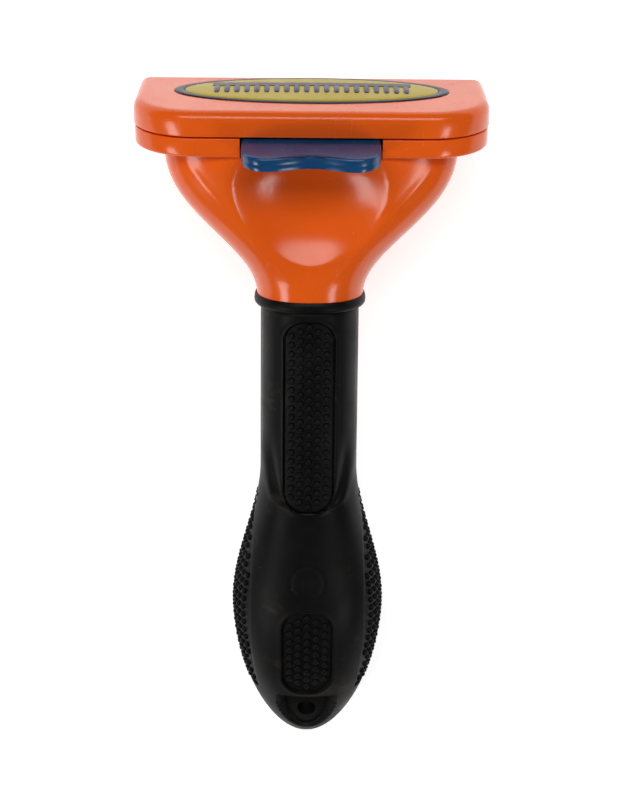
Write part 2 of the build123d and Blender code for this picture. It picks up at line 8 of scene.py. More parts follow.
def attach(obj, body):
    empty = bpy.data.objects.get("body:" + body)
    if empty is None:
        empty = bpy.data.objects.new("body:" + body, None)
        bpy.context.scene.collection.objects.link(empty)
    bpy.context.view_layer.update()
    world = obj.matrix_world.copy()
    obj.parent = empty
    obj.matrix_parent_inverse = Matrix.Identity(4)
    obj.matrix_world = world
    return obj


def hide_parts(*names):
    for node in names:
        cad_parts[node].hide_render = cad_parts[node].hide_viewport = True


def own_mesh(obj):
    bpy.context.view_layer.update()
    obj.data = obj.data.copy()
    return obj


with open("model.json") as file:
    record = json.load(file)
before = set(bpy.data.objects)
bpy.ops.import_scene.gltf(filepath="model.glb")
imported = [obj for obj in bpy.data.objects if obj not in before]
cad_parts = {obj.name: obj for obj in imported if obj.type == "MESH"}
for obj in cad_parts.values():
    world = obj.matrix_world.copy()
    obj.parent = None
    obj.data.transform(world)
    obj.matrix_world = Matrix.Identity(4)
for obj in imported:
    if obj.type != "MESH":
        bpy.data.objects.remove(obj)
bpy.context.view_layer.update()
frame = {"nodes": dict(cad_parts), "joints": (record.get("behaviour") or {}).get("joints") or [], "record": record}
print("frame loaded:", len(frame["nodes"]), "nodes")

# The tool's own frame, in millimetres: x across the head, y from the thumb side to the blade side
# (the way the button slides), z out of the cover, with the origin in the middle of the cover's face.
acrossAxis = np.array((1.0, 0.0, 0.0))
slideAxis = np.array(frame["joints"][0]["axis"], float)
riseAxis = np.cross(acrossAxis, slideAxis)
toolAxes = np.array((acrossAxis, slideAxis, riseAxis))


def nodePoints(name):
    mesh = frame["nodes"][name].data
    flat = np.zeros(len(mesh.vertices) * 3, np.float32)
    mesh.vertices.foreach_get("co", flat)
    return flat.reshape(-1, 3).astype(float)


coverPoints = nodePoints("top_cover")
coverReach = coverPoints @ slideAxis
toolOrigin = slideAxis * (coverReach.min() + coverReach.max()) / 2
toolOrigin = toolOrigin + riseAxis * (coverPoints @ riseAxis).max()


def placed(points):
    # origin plus each coordinate times its axis, millimetres to metres
    return toolOrigin + np.asarray(points, float) @ toolAxes / 1000


def smoothStep(value):
    held = np.clip(value, 0.0, 1.0)
    return held * held * (3 - 2 * held)


def bump(distance, width):
    # bell of height 1: e to the minus (distance over width) squared
    return np.exp(-(distance / width) ** 2)


# ---------- meshes ----------
def facesOfGrid(rows, columns, start=0, closedRows=False):
    # quads between neighbouring points of a grid whose columns run round in a loop
    row = np.arange(rows if closedRows else rows - 1)[:, None]
    column = np.arange(columns)[None, :]
    nextRow = (row + 1) % rows
    nextColumn = (column + 1) % columns
    corners = (row * columns + column, row * columns + nextColumn,
               nextRow * columns + nextColumn, nextRow * columns + column)
    return start + np.stack(np.broadcast_arrays(*corners), axis=-1).reshape(-1, 4)


def facesOfFan(ring, pole):
    return np.stack((ring, np.roll(ring, -1), np.full(len(ring), pole)), axis=-1)


def shell(rings, firstPole=None, lastPole=None):
    # closed surface: rings of points one after another, with a fan of triangles over each end
    rings = np.asarray(rings, float)
    rows, columns = rings.shape[:2]
    firstPole = rings[0].mean(0) if firstPole is None else firstPole
    lastPole = rings[-1].mean(0) if lastPole is None else lastPole
    points = np.vstack((rings.reshape(-1, 3), firstPole, lastPole))
    ring = np.arange(columns)
    quads = facesOfGrid(rows, columns)
    fans = np.vstack((facesOfFan(ring[::-1], rows * columns),
                      facesOfFan(ring + (rows - 1) * columns, rows * columns + 1)))
    return outward(points, quads, fans)


def loopShell(rings):
    # closed surface whose last ring joins its first
    rings = np.asarray(rings, float)
    rows, columns = rings.shape[:2]
    quads = facesOfGrid(rows, columns, closedRows=True)
    return outward(rings.reshape(-1, 3), quads, np.zeros((0, 3), int))


def outward(points, quads, triangles):
    # the signed volume says whether the faces point in; if so every face is turned over
    halves = np.vstack((quads[:, (0, 1, 2)], quads[:, (0, 2, 3)], triangles))
    a, b, c = points[halves[:, 0]], points[halves[:, 1]], points[halves[:, 2]]
    if np.einsum("ij,ij->", a, np.cross(b, c)) < 0:
        quads = quads[:, ::-1]
        triangles = triangles[:, ::-1]
    return points, quads, triangles


def copies(part, centres, sides, alongs, normals):
    # the same small part at many places: centre plus each coordinate times its own direction
    points, quads, triangles = part
    spread = (centres[:, None, :] + points[None, :, 0:1] * sides[:, None, :]
              + points[None, :, 1:2] * alongs[:, None, :] + points[None, :, 2:3] * normals[:, None, :])
    steps = np.arange(len(centres))[:, None, None] * len(points)
    moreQuads, moreTriangles = (quads[None] + steps).reshape(-1, 4), (triangles[None] + steps).reshape(-1, 3)
    return spread.reshape(-1, 3), moreQuads, moreTriangles


def joined(*parts):
    points, quads, triangles, start = [], [], [], 0
    for part in parts:
        points.append(part[0])
        quads.append(part[1] + start)
        triangles.append(part[2] + start)
        start += len(part[0])
    return np.vstack(points), np.vstack(quads), np.vstack(triangles)


def makePiece(name, part, material, body, nodes, sharp=38):
    points, quads, triangles = part
    mesh = bpy.data.meshes.new(name)
    mesh.vertices.add(len(points))
    mesh.vertices.foreach_set("co", placed(points).ravel())
    corners = np.concatenate((quads.ravel(), triangles.ravel()))
    starts = np.concatenate((np.arange(len(quads)) * 4, len(quads) * 4 + np.arange(len(triangles)) * 3))
    mesh.loops.add(len(corners))
    mesh.loops.foreach_set("vertex_index", corners)
    mesh.polygons.add(len(starts))
    mesh.polygons.foreach_set("loop_start", starts)
    mesh.update(calc_edges=True)
    mesh.validate()
    mesh.polygons.foreach_set("use_smooth", np.ones(len(mesh.polygons), bool))
    mesh.set_sharp_from_angle(angle=radians(sharp))
    mesh.materials.append(material)
    piece = bpy.data.objects.new(name, mesh)
    bpy.context.scene.collection.objects.link(piece)
    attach(piece, body)
    if nodes:
        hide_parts(*nodes)
    print("made", name, len(points), "points")
    return piece


# ---------- materials ----------
class Nodes:
    # short ways to add and join a material's nodes
    def __init__(self, name):
        self.material = bpy.data.materials.new(name)
        self.material.use_nodes = True
        self.tree = self.material.node_tree
        self.shader = self.tree.nodes["Principled BSDF"]
        self.place = self.add("ShaderNodeTexCoord").outputs["Object"]

    def add(self, kind, **values):
        node = self.tree.nodes.new(kind)
        for key, value in values.items():
            setattr(node, key, value)
        return node

    def join(self, source, target):
        self.tree.links.new(source, target)

    def stretched(self, scale):
        # the object's coordinates, stretched along each axis
        node = self.add("ShaderNodeMapping")
        node.inputs["Scale"].default_value = scale
        self.join(self.place, node.inputs["Vector"])
        return node.outputs["Vector"]

    def noise(self, scale, detail=3.0, rough=0.55, place=None):
        node = self.add("ShaderNodeTexNoise")
        node.inputs["Scale"].default_value = scale
        node.inputs["Detail"].default_value = detail
        node.inputs["Roughness"].default_value = rough
        self.join(place or self.place, node.inputs["Vector"])
        return node.outputs["Fac"]

    def dots(self, scale, place=None):
        node = self.add("ShaderNodeTexVoronoi")
        node.inputs["Scale"].default_value = scale
        self.join(place or self.place, node.inputs["Vector"])
        return node.outputs["Distance"]

    def span(self, source, low, high, fromLow=0.3, fromHigh=0.7):
        # a share between two values, held at both ends
        node = self.add("ShaderNodeMapRange", clamp=True)
        for key, value in (("From Min", fromLow), ("From Max", fromHigh), ("To Min", low), ("To Max", high)):
            node.inputs[key].default_value = value
        self.join(source, node.inputs["Value"])
        return node.outputs["Result"]

    def sum(self, first, second, kind="ADD"):
        node = self.add("ShaderNodeMath", operation=kind)
        for index, source in enumerate((first, second)):
            if isinstance(source, (int, float)):
                node.inputs[index].default_value = source
            else:
                self.join(source, node.inputs[index])
        return node.outputs["Value"]

    def blend(self, share, first, second):
        # a colour between two colours; each is a colour or another node's output
        node = self.add("ShaderNodeMix", data_type="RGBA")
        self.join(share, node.inputs["Factor"])
        for socket, source in ((node.inputs[6], first), (node.inputs[7], second)):
            if isinstance(source, tuple):
                socket.default_value = (*source, 1.0)
            else:
                self.join(source, socket)
        return node.outputs[2]

    def raised(self, height, strength, distance, after=None):
        node = self.add("ShaderNodeBump")
        node.inputs["Strength"].default_value = strength
        node.inputs["Distance"].default_value = distance
        self.join(height, node.inputs["Height"])
        if after:
            self.join(after, node.inputs["Normal"])
        return node.outputs["Normal"]

    def finish(self, colour, rough, normal, **fixed):
        if isinstance(colour, tuple):
            self.shader.inputs["Base Color"].default_value = (*colour, 1.0)
        else:
            self.join(colour, self.shader.inputs["Base Color"])
        if isinstance(rough, (int, float)):
            self.shader.inputs["Roughness"].default_value = rough
        else:
            self.join(rough, self.shader.inputs["Roughness"])
        if normal:
            self.join(normal, self.shader.inputs["Normal"])
        for key, value in fixed.items():
            self.shader.inputs[key].default_value = value
        return self.material


shellLook = {
    "colour": (0.90, 0.125, 0.0090),
    "deep": (0.80, 0.104, 0.0070),
    "dust": (0.80, 0.42, 0.24),
    "rough": (0.14, 0.24),
    "speckScale": 900,          # dust, about one speck to every 3 mm
    "grainScale": 5200,
}


def orangePlastic():
    look = shellLook
    make = Nodes("orangePlastic")
    mottle = make.span(make.noise(38, 4), 0, 1)
    colour = make.blend(mottle, look["colour"], look["deep"])
    speck = make.span(make.dots(look["speckScale"]), 1, 0, 0.05, 0.10)
    rare = make.span(make.noise(260, 2), 0, 1, 0.60, 0.64)
    speck = make.sum(speck, rare, "MULTIPLY")
    colour = make.blend(speck, colour, look["dust"])
    scuffPlace = make.stretched((900, 90, 400))
    scuff = make.span(make.noise(1.0, 2, 0.5, scuffPlace), 0, 1, 0.62, 0.72)
    rough = make.sum(make.span(make.noise(150, 5), *look["rough"]), make.sum(scuff, 0.10, "MULTIPLY"))
    wave = make.raised(make.noise(95, 2), 0.25, 0.0004)        # slow waves of a moulded face
    grain = make.raised(make.noise(look["grainScale"], 3), 0.05, 0.00004, wave)
    normal = make.raised(scuff, 0.04, 0.00003, grain)
    return make.finish(colour, rough, normal, **{"Specular IOR Level": 0.36})


buttonLook = {"colour": (0.004, 0.050, 0.150), "worn": (0.014, 0.085, 0.21), "rough": (0.16, 0.28)}


def bluePlastic():
    look = buttonLook
    make = Nodes("bluePlastic")
    mottle = make.span(make.noise(120, 4), 0, 0.5)
    colour = make.blend(mottle, look["colour"], look["worn"])
    speck = make.span(make.dots(1100), 1, 0, 0.05, 0.09)
    rare = make.span(make.noise(330, 2), 0, 1, 0.56, 0.60)
    colour = make.blend(make.sum(speck, rare, "MULTIPLY"), colour, (0.40, 0.42, 0.38))
    rough = make.span(make.noise(240, 5), *look["rough"])
    lines = make.noise(1.0, 2, 0.5, make.stretched((120, 2600, 2600)))
    normal = make.raised(make.noise(4200, 3), 0.06, 0.00004, make.raised(lines, 0.10, 0.00005))
    return make.finish(colour, rough, normal, **{"Specular IOR Level": 0.5})


rubberLook = {
    "colour": (0.0022, 0.0022, 0.0023),
    "bloom": (0.0050, 0.0048, 0.0046),     # where the surface has been rubbed pale
    "dust": (0.16, 0.13, 0.09),
    "rough": (0.36, 0.52),
}


def gripRubber():
    look = rubberLook
    make = Nodes("gripRubber")
    bloom = make.span(make.noise(46, 6, 0.62), 0, 1, 0.42, 0.70)
    colour = make.blend(bloom, look["colour"], look["bloom"])
    speck = make.span(make.dots(820), 1, 0, 0.04, 0.08)
    rare = make.span(make.noise(170, 3), 0, 0.8, 0.58, 0.64)
    colour = make.blend(make.sum(speck, rare, "MULTIPLY"), colour, look["dust"])
    smear = make.span(make.noise(1.0, 5, 0.65, make.stretched((60, 150, 150))), 0, 0.10, 0.60, 0.74)
    colour = make.blend(smear, colour, look["dust"])
    rough = make.sum(make.span(make.noise(120, 6, 0.6), *look["rough"]), make.sum(bloom, 0.07, "MULTIPLY"))
    skin = make.raised(make.noise(2400, 4, 0.6), 0.12, 0.00006)
    scratch = make.span(make.noise(1.0, 2, 0.5, make.stretched((1500, 130, 700))), 0, 1, 0.66, 0.72)
    normal = make.raised(scratch, 0.06, 0.00004, skin)
    return make.finish(colour, rough, normal, **{"Specular IOR Level": 0.11})


padLook = {"colour": (0.0030, 0.0030, 0.0031), "worn": (0.0075, 0.0072, 0.0070), "rough": (0.42, 0.62)}


def padRubber():
    look = padLook
    make = Nodes("padRubber")
    worn = make.span(make.noise(95, 5, 0.6), 0, 1, 0.45, 0.72)
    colour = make.blend(worn, look["colour"], look["worn"])
    lint = make.span(make.dots(1500), 1, 0, 0.05, 0.10)
    rare = make.span(make.noise(300, 3), 0, 0.7, 0.57, 0.62)
    colour = make.blend(make.sum(lint, rare, "MULTIPLY"), colour, (0.12, 0.10, 0.075))
    rough = make.span(make.noise(300, 4), *look["rough"])
    normal = make.raised(make.noise(3400, 4, 0.6), 0.15, 0.00006)
    return make.finish(colour, rough, normal, **{"Specular IOR Level": 0.11})


def badgeInk(name, colour, pale, rough):
    # printed and lacquered plate: faint print grain, with a little noise in tone and roughness
    make = Nodes(name)
    grain = make.span(make.noise(900, 4, 0.6), 0, 0.35)
    ground = make.blend(grain, colour, pale)
    shade = make.span(make.noise(60, 3), 0, 0.25)
    ground = make.blend(shade, ground, tuple(value * 0.75 for value in colour))
    roughness = make.span(make.noise(200, 5), rough, rough + 0.12)
    normal = make.raised(make.noise(1600, 3), 0.05, 0.00003)
    return make.finish(ground, roughness, normal, **{"Specular IOR Level": 0.22})


def brushedSteel(name, colour, stretch, rough):
    # ground metal: fine lines drawn out along one axis, with a few dull patches
    make = Nodes(name)
    lines = make.noise(1.0, 5, 0.7, make.stretched(stretch))
    patch = make.span(make.noise(90, 4), 0, 1, 0.45, 0.70)
    dull = tuple(value * 0.72 for value in colour)
    ground = make.blend(make.sum(patch, 0.5, "MULTIPLY"), colour, dull)
    roughness = make.sum(make.span(lines, rough, rough + 0.18), make.sum(patch, 0.06, "MULTIPLY"))
    normal = make.raised(lines, 0.10, 0.00004)
    return make.finish(ground, roughness, normal, **{"Metallic": 1.0})


def mouldedBlack():
    make = Nodes("mouldedBlack")
    colour = make.blend(make.span(make.noise(200, 4), 0, 1), (0.018, 0.018, 0.019), (0.034, 0.034, 0.036))
    rough = make.span(make.noise(500, 4), 0.42, 0.6)
    normal = make.raised(make.noise(2600, 4), 0.2, 0.00008)
    return make.finish(colour, rough, normal)


orange = orangePlastic()
blue = bluePlastic()
rubber = gripRubber()
padMaterial = padRubber()
yellowInk = badgeInk("yellowInk", (0.50, 0.37, 0.006), (0.58, 0.46, 0.02), 0.30)
navyInk = badgeInk("navyInk", (0.006, 0.010, 0.032), (0.016, 0.022, 0.050), 0.24)
bladeSteel = brushedSteel("bladeSteel", (0.60, 0.60, 0.59), (140, 4200, 4200), 0.20)
screwSteel = brushedSteel("screwSteel", (0.50, 0.50, 0.51), (2200, 2200, 2200), 0.26)
wireSteel = brushedSteel("wireSteel", (0.56, 0.56, 0.55), (3000, 700, 3000), 0.22)
blackPlastic = mouldedBlack()
print("materials ready")

keptNodes = {
    "blade_screws": screwSteel, "bar_screws": screwSteel, "tang_pin": screwSteel,
    "ejector_carriage": blue, "ejector_bar": blue, "handle_core": blackPlastic,
}
for name, material in keptNodes.items():
    slots = frame["nodes"][name].data.materials
    if len(slots):
        for index in range(len(slots)):
            slots[index] = material
    else:
        slots.append(material)

# ---------- head ----------
head = {
    "halfWidth": 39.0, "halfDepth": 16.5, "taper": 0.4, "frontCorner": 14.0, "backCorner": 2.5,
    "slotHalf": 15.35,          # slot for the button
    "bladeHalf": 33.85,         # opening in the cover for the blade
    "windowHalf": 33.4,         # opening in the body for the hair bar
}


def headRing(inset):
    # outline of the head: straight front, two large round corners, sides that draw in a little,
    # two small round corners and a straight back, all moved inwards by the inset
    deep, wide, taper = head["halfDepth"], head["halfWidth"], head["taper"]
    lean = np.arctan(taper / (2 * deep))
    slot, blade, window = head["slotHalf"], head["bladeHalf"], head["windowHalf"]
    frontX = wide - head["frontCorner"] / cos(lean)
    frontXs = np.concatenate((np.linspace(0, slot - 0.02, 14), np.linspace(slot + 0.02, frontX, 8)[:-1]))
    frontArc = np.linspace(-pi / 2, lean, 27)
    frontRadius = head["frontCorner"] - inset
    frontMiddle = (frontX, -deep + head["frontCorner"])
    tight = max(head["backCorner"] - inset, 0.3)
    pulled = tight - (head["backCorner"] - inset)
    backY = deep - head["backCorner"] - pulled
    sideAtBack = wide + taper * (head["frontCorner"] - deep - backY) / (2 * deep)
    backX = sideAtBack - head["backCorner"] / cos(lean) - pulled
    backArc = np.linspace(lean, pi / 2, 9)
    backXs = np.concatenate(((blade + 0.02, blade - 0.02, window + 0.02),
                             np.linspace(window - 0.02, 0, 24)))
    cornerOne = np.stack((frontMiddle[0] + frontRadius * np.cos(frontArc),
                          frontMiddle[1] + frontRadius * np.sin(frontArc)), -1)
    cornerTwo = np.stack((backX + tight * np.cos(backArc), backY + tight * np.sin(backArc)), -1)
    side = cornerOne[-1] + (cornerTwo[0] - cornerOne[-1]) * np.linspace(0, 1, 8)[1:-1, None]
    frontEdge = np.stack((frontXs, np.full(len(frontXs), -deep + inset)), -1)
    backEdge = np.stack((backXs, np.full(len(backXs), deep - inset)), -1)
    right = np.vstack((frontEdge, cornerOne, side, cornerTwo, backEdge))
    left = right[-2:0:-1] * (-1, 1)
    return np.vstack((right, left))


outline = headRing(0.0)
onBack = outline[:, 1] > head["halfDepth"] - 0.01
onFront = outline[:, 1] < 0.01 - head["halfDepth"]
bladeColumns = onBack & (np.abs(outline[:, 0]) < head["bladeHalf"])
windowColumns = onBack & (np.abs(outline[:, 0]) < head["windowHalf"])
slotColumns = onFront & (np.abs(outline[:, 0]) < head["slotHalf"])

cover = {
    "bottom": -5.5, "plate": -2.4, "seat": -4.4, "seatFrom": -1.0, "wall": 2.4,
    "round": 2.0, "flash": 0.05, "edge": 0.25,
}
badge = {
    "halfWidth": 30.5, "halfDepth": 11.3, "offset": 3.0, "recess": -1.0,
    "rimEnds": 2.3, "rimSides": 1.3, "rimProud": 0.25, "faceEdge": 0.32, "crown": 0.34,
}


def ovalRing(inset, insetY=None):
    # oval at the same turns as the head's outline, seen from the badge's middle
    insetY = inset if insetY is None else insetY
    wide, deep = badge["halfWidth"], badge["halfDepth"]
    turn = np.arctan2((outline[:, 1] - badge["offset"]) / deep, outline[:, 0] / wide)
    return np.stack(((wide - inset) * np.cos(turn), badge["offset"] + (deep - insetY) * np.sin(turn)), -1)


def atHeight(ring, height):
    return np.column_stack((ring, np.broadcast_to(height, (len(ring),))))


def coverShell():
    # underside with the blade's seat, skirt, side with a fine flash line, quarter-round edge,
    # flat top that turns from the head's outline into the badge's oval recess
    c = cover
    wallRing = headRing(c["wall"])
    seated = wallRing[:, 1] > c["seatFrom"]
    under = np.where(seated, c["seat"], c["plate"])

    def lowered(height):
        # over the blade the skirt ends at the seat
        return np.where(bladeColumns, c["seat"] + (height - c["seat"]) * 0.03, height)

    stepRing = wallRing.copy()
    stepRing[seated, 1] = c["seatFrom"]
    stepRing[~seated] *= 0.98
    innerRing = stepRing * (0.97, 1.0)
    rings = [
        atHeight(innerRing, c["plate"]),
        atHeight(stepRing, under),
        atHeight(wallRing, under),
        atHeight(wallRing, lowered(c["bottom"] + c["edge"])),
        atHeight(headRing(c["wall"] - c["edge"]), lowered(c["bottom"])),
        atHeight(headRing(c["edge"]), lowered(c["bottom"])),
        atHeight(headRing(c["edge"] * 0.3), lowered(c["bottom"] + c["edge"] * 0.3)),
        atHeight(headRing(0.0), lowered(c["bottom"] + c["edge"])),
        atHeight(headRing(0.0), -c["round"] - 0.30),
        atHeight(headRing(0.01), -c["round"] - 0.12),
        atHeight(headRing(c["flash"]), -c["round"] - 0.06),
    ]
    radius = c["round"] - c["flash"]
    for turn in np.linspace(0, pi / 2, 9):
        height = c["round"] * (sin(turn) - 1)
        rings.append(atHeight(headRing(c["round"] - radius * cos(turn)), height))
    edgeRing, recessRing = headRing(c["round"]), ovalRing(-0.12)
    for share in (0.06, 0.25, 0.5, 0.75, 0.94, 1.0):
        rings.append(atHeight(edgeRing + (recessRing - edgeRing) * share, 0.0))
    rings.append(atHeight(ovalRing(-0.03), -0.04))
    rings.append(atHeight(ovalRing(0.0), -0.15))
    rings.append(atHeight(ovalRing(0.0), badge["recess"]))
    return shell(rings, (0.0, -8.0, c["plate"]), (0.0, badge["offset"], badge["recess"]))


makePiece("topCover", coverShell(), orange, "handle", ["top_cover"], 30)


def badgeTop(x, y):
    # crowned face: edge height plus the crown times (1 - share of the way out, squared)
    out = (x / badge["halfWidth"]) ** 2 + ((y - badge["offset"]) / badge["halfDepth"]) ** 2
    return badge["faceEdge"] + badge["crown"] * (1 - np.clip(out, 0, 1))


def badgeRimShell():
    # a flat oval ring, wider at its two ends, with a rounded inner and outer edge
    ends, sides, proud = badge["rimEnds"], badge["rimSides"], badge["rimProud"]
    profile = ((0.0, badge["recess"]), (0.0, proud - 0.22), (0.05, proud - 0.08), (0.18, proud),
               (0.82, proud), (0.95, proud - 0.06), (1.0, proud - 0.2), (1.0, badge["recess"]))
    return loopShell([atHeight(ovalRing(0.05 + share * ends, 0.05 + share * sides), height)
                      for share, height in profile])


def badgeFaceShell():
    ends, sides = badge["rimEnds"] + 0.08, badge["rimSides"] + 0.08
    edgeRing = ovalRing(ends, sides)
    rings = [atHeight(edgeRing, badge["recess"]), atHeight(edgeRing, badge["rimProud"] - 0.2)]
    rimRing = edgeRing - (0, badge["offset"])
    for share in (0.997, 0.985, 0.95, 0.85, 0.7, 0.55, 0.4, 0.25, 0.1):
        ring = rimRing * share + (0, badge["offset"])
        drop = 0.16 * np.clip((share - 0.95) / 0.047, 0, 1) ** 2
        rings.append(atHeight(ring, badgeTop(*ring.T) - drop))
    return shell(rings)


emblem = {"width": 44.0, "height": 8.6, "tines": 20, "spine": 2.9, "proud": 0.12, "offset": 0.5}


def plate(outlineRing, rise, edge=0.04):
    # thin plate that lies on the badge's crowned face, with a small round edge
    middle = outlineRing.mean(0)
    small = middle + (outlineRing - middle) * (1 - edge)
    low, high = badgeTop(*outlineRing.T) - 0.1, badgeTop(*outlineRing.T) + rise * 0.7
    return shell([atHeight(small, low), atHeight(outlineRing, low), atHeight(outlineRing, high),
                  atHeight(small, badgeTop(*small.T) + rise)])


def roundedBar(middleX, middleY, halfX, halfY, power=5.0, count=40):
    turn = np.arange(count) * tau / count
    reach = (np.abs(np.cos(turn)) ** power + np.abs(np.sin(turn)) ** power) ** (-1 / power)
    return np.stack((middleX + halfX * reach * np.cos(turn), middleY + halfY * reach * np.sin(turn)), -1)


def emblemShell():
    # a comb: one long bar with tines of equal width hanging from it
    e = emblem
    top = badge["offset"] + e["offset"] + e["height"] / 2
    parts = []
    segments = 14
    spineHalf = e["width"] / 2
    for index in range(segments):           # the bar follows the crown in short lengths
        middle = -spineHalf + (index + 0.5) * e["width"] / segments
        parts.append(plate(roundedBar(middle, top - e["spine"] / 2, e["width"] / segments / 2 + 0.02,
                                      e["spine"] / 2, 12.0, 24), e["proud"], 0.01))
    pitch = e["width"] / e["tines"]
    tine = e["height"] - e["spine"] + 0.3
    for index in range(e["tines"]):
        middle = -spineHalf + (index + 0.5) * pitch
        bar = roundedBar(middle, top - e["height"] + tine / 2, pitch * 0.29, tine / 2, 3.5, 20)
        parts.append(plate(bar, e["proud"] + 0.01))
    return joined(*parts)


makePiece("badgeRim", badgeRimShell(), navyInk, "handle", ["badge_rim"])
makePiece("badgeFace", badgeFaceShell(), yellowInk, "handle", ["badge_face"])
makePiece("badgeComb", emblemShell(), navyInk, "handle", ["badge_emblem"], 60)

body = {
    "flangeTop": -5.9, "floor": -8.6, "flangeBottom": -10.0, "inset": 0.2, "wall": 2.4, "lowRound": 0.7,
    "edge": 0.2, "slotBottom": -10.3, "drop": 35.8, "width": 65.0, "bow": 1.16, "front": 15.3, "back": 14.4,
    "shellWall": 2.4, "neckWidth": 24.2, "neckDepth": 23.4, "neckOffset": -1.0, "neckLean": 5.5,
    "scoopDepth": 6.4, "scoopHalf": 17.6, "scoopMiddle": -17.5, "scoopReach": 18.4, "scoopTop": 15.0,
    "scoopPower": 1.8, "ridge": 0.16, "ridgeX": 27.5, "ridgeFrom": -11.8, "ridgeTo": -42.0,
    "ridgeSlant": 0.815, "ridgeWidth": 0.9, "tangWidth": 13.0, "tangDepth": 12.0, "tangLength": 30.0,
}
flangeRing = headRing(body["inset"])
columnTurn = np.arctan2(flangeRing[:, 1] / head["halfDepth"], flangeRing[:, 0] / head["halfWidth"])


def superRing(turn, halfWidth, front, back, power):
    # superellipse through a direction: reach = (|cos|^p + |sin|^p)^(-1/p),
    # with its own depth front and back
    reach = (np.abs(np.cos(turn)) ** power + np.abs(np.sin(turn)) ** power) ** (-1 / power)
    depth = np.where(np.sin(turn) < 0, front, back)
    return halfWidth * np.cos(turn) * reach, depth * np.sin(turn) * reach


def leaning(x, y, middleY, middleZ, lean):
    # a section's point carried to its plane, whose normal leans towards the thumb side
    return np.stack(np.broadcast_arrays(x, middleY + y * np.cos(lean), middleZ - y * np.sin(lean)), -1)


def funnelRing(share, inset=0.0, frontInset=0.0):
    b = body
    opened = (1 + cos(pi * share ** b["bow"])) / 2
    bend = float(smoothStep((share - 0.4) / 0.6))
    half = b["neckWidth"] / 2 + (b["width"] - b["neckWidth"]) / 2 * opened
    front = b["neckDepth"] / 2 + (b["front"] - b["neckDepth"] / 2) * opened
    back = b["neckDepth"] / 2 + (b["back"] - b["neckDepth"] / 2) * opened
    x, y = superRing(columnTurn, half - inset, front - inset - frontInset, back - inset, 2.2 + 1.2 * opened)
    middleZ = b["flangeBottom"] - b["drop"] * share
    return leaning(x, y, b["neckOffset"] * bend, middleZ, radians(b["neckLean"]) * bend)


def scooped(ring):
    # thumb scoop: depth times (1 - (|x|/half)^p - (|z - middle|/reach)^p), eased at its rim,
    # on the thumb side, and a soft ridge that runs from the flange's corner down to the neck
    b = body
    x, z = ring[:, 0], ring[:, 2]
    along = np.where(z < b["scoopMiddle"], b["scoopReach"], b["scoopTop"])
    left = 1 - (np.abs(x) / b["scoopHalf"]) ** b["scoopPower"] \
        - (np.abs(z - b["scoopMiddle"]) / along) ** b["scoopPower"]
    eased = np.clip(left, 0, 1)
    eased = eased ** 1.25 * (1.6 - 0.6 * eased)
    thumbSide = ring[:, 1] < 0
    ridgeX = b["ridgeX"] + (z - b["ridgeFrom"]) * b["ridgeSlant"]
    ridge = bump(np.abs(x) - ridgeX, b["ridgeWidth"]) * smoothStep((z - b["ridgeTo"]) / 6)
    ridge = b["ridge"] * ridge * smoothStep((b["ridgeFrom"] + 0.8 - z) / 4)
    moved = ring.copy()
    moved[:, 1] += np.where(thumbSide, b["scoopDepth"] * eased - ridge, 0)
    return moved


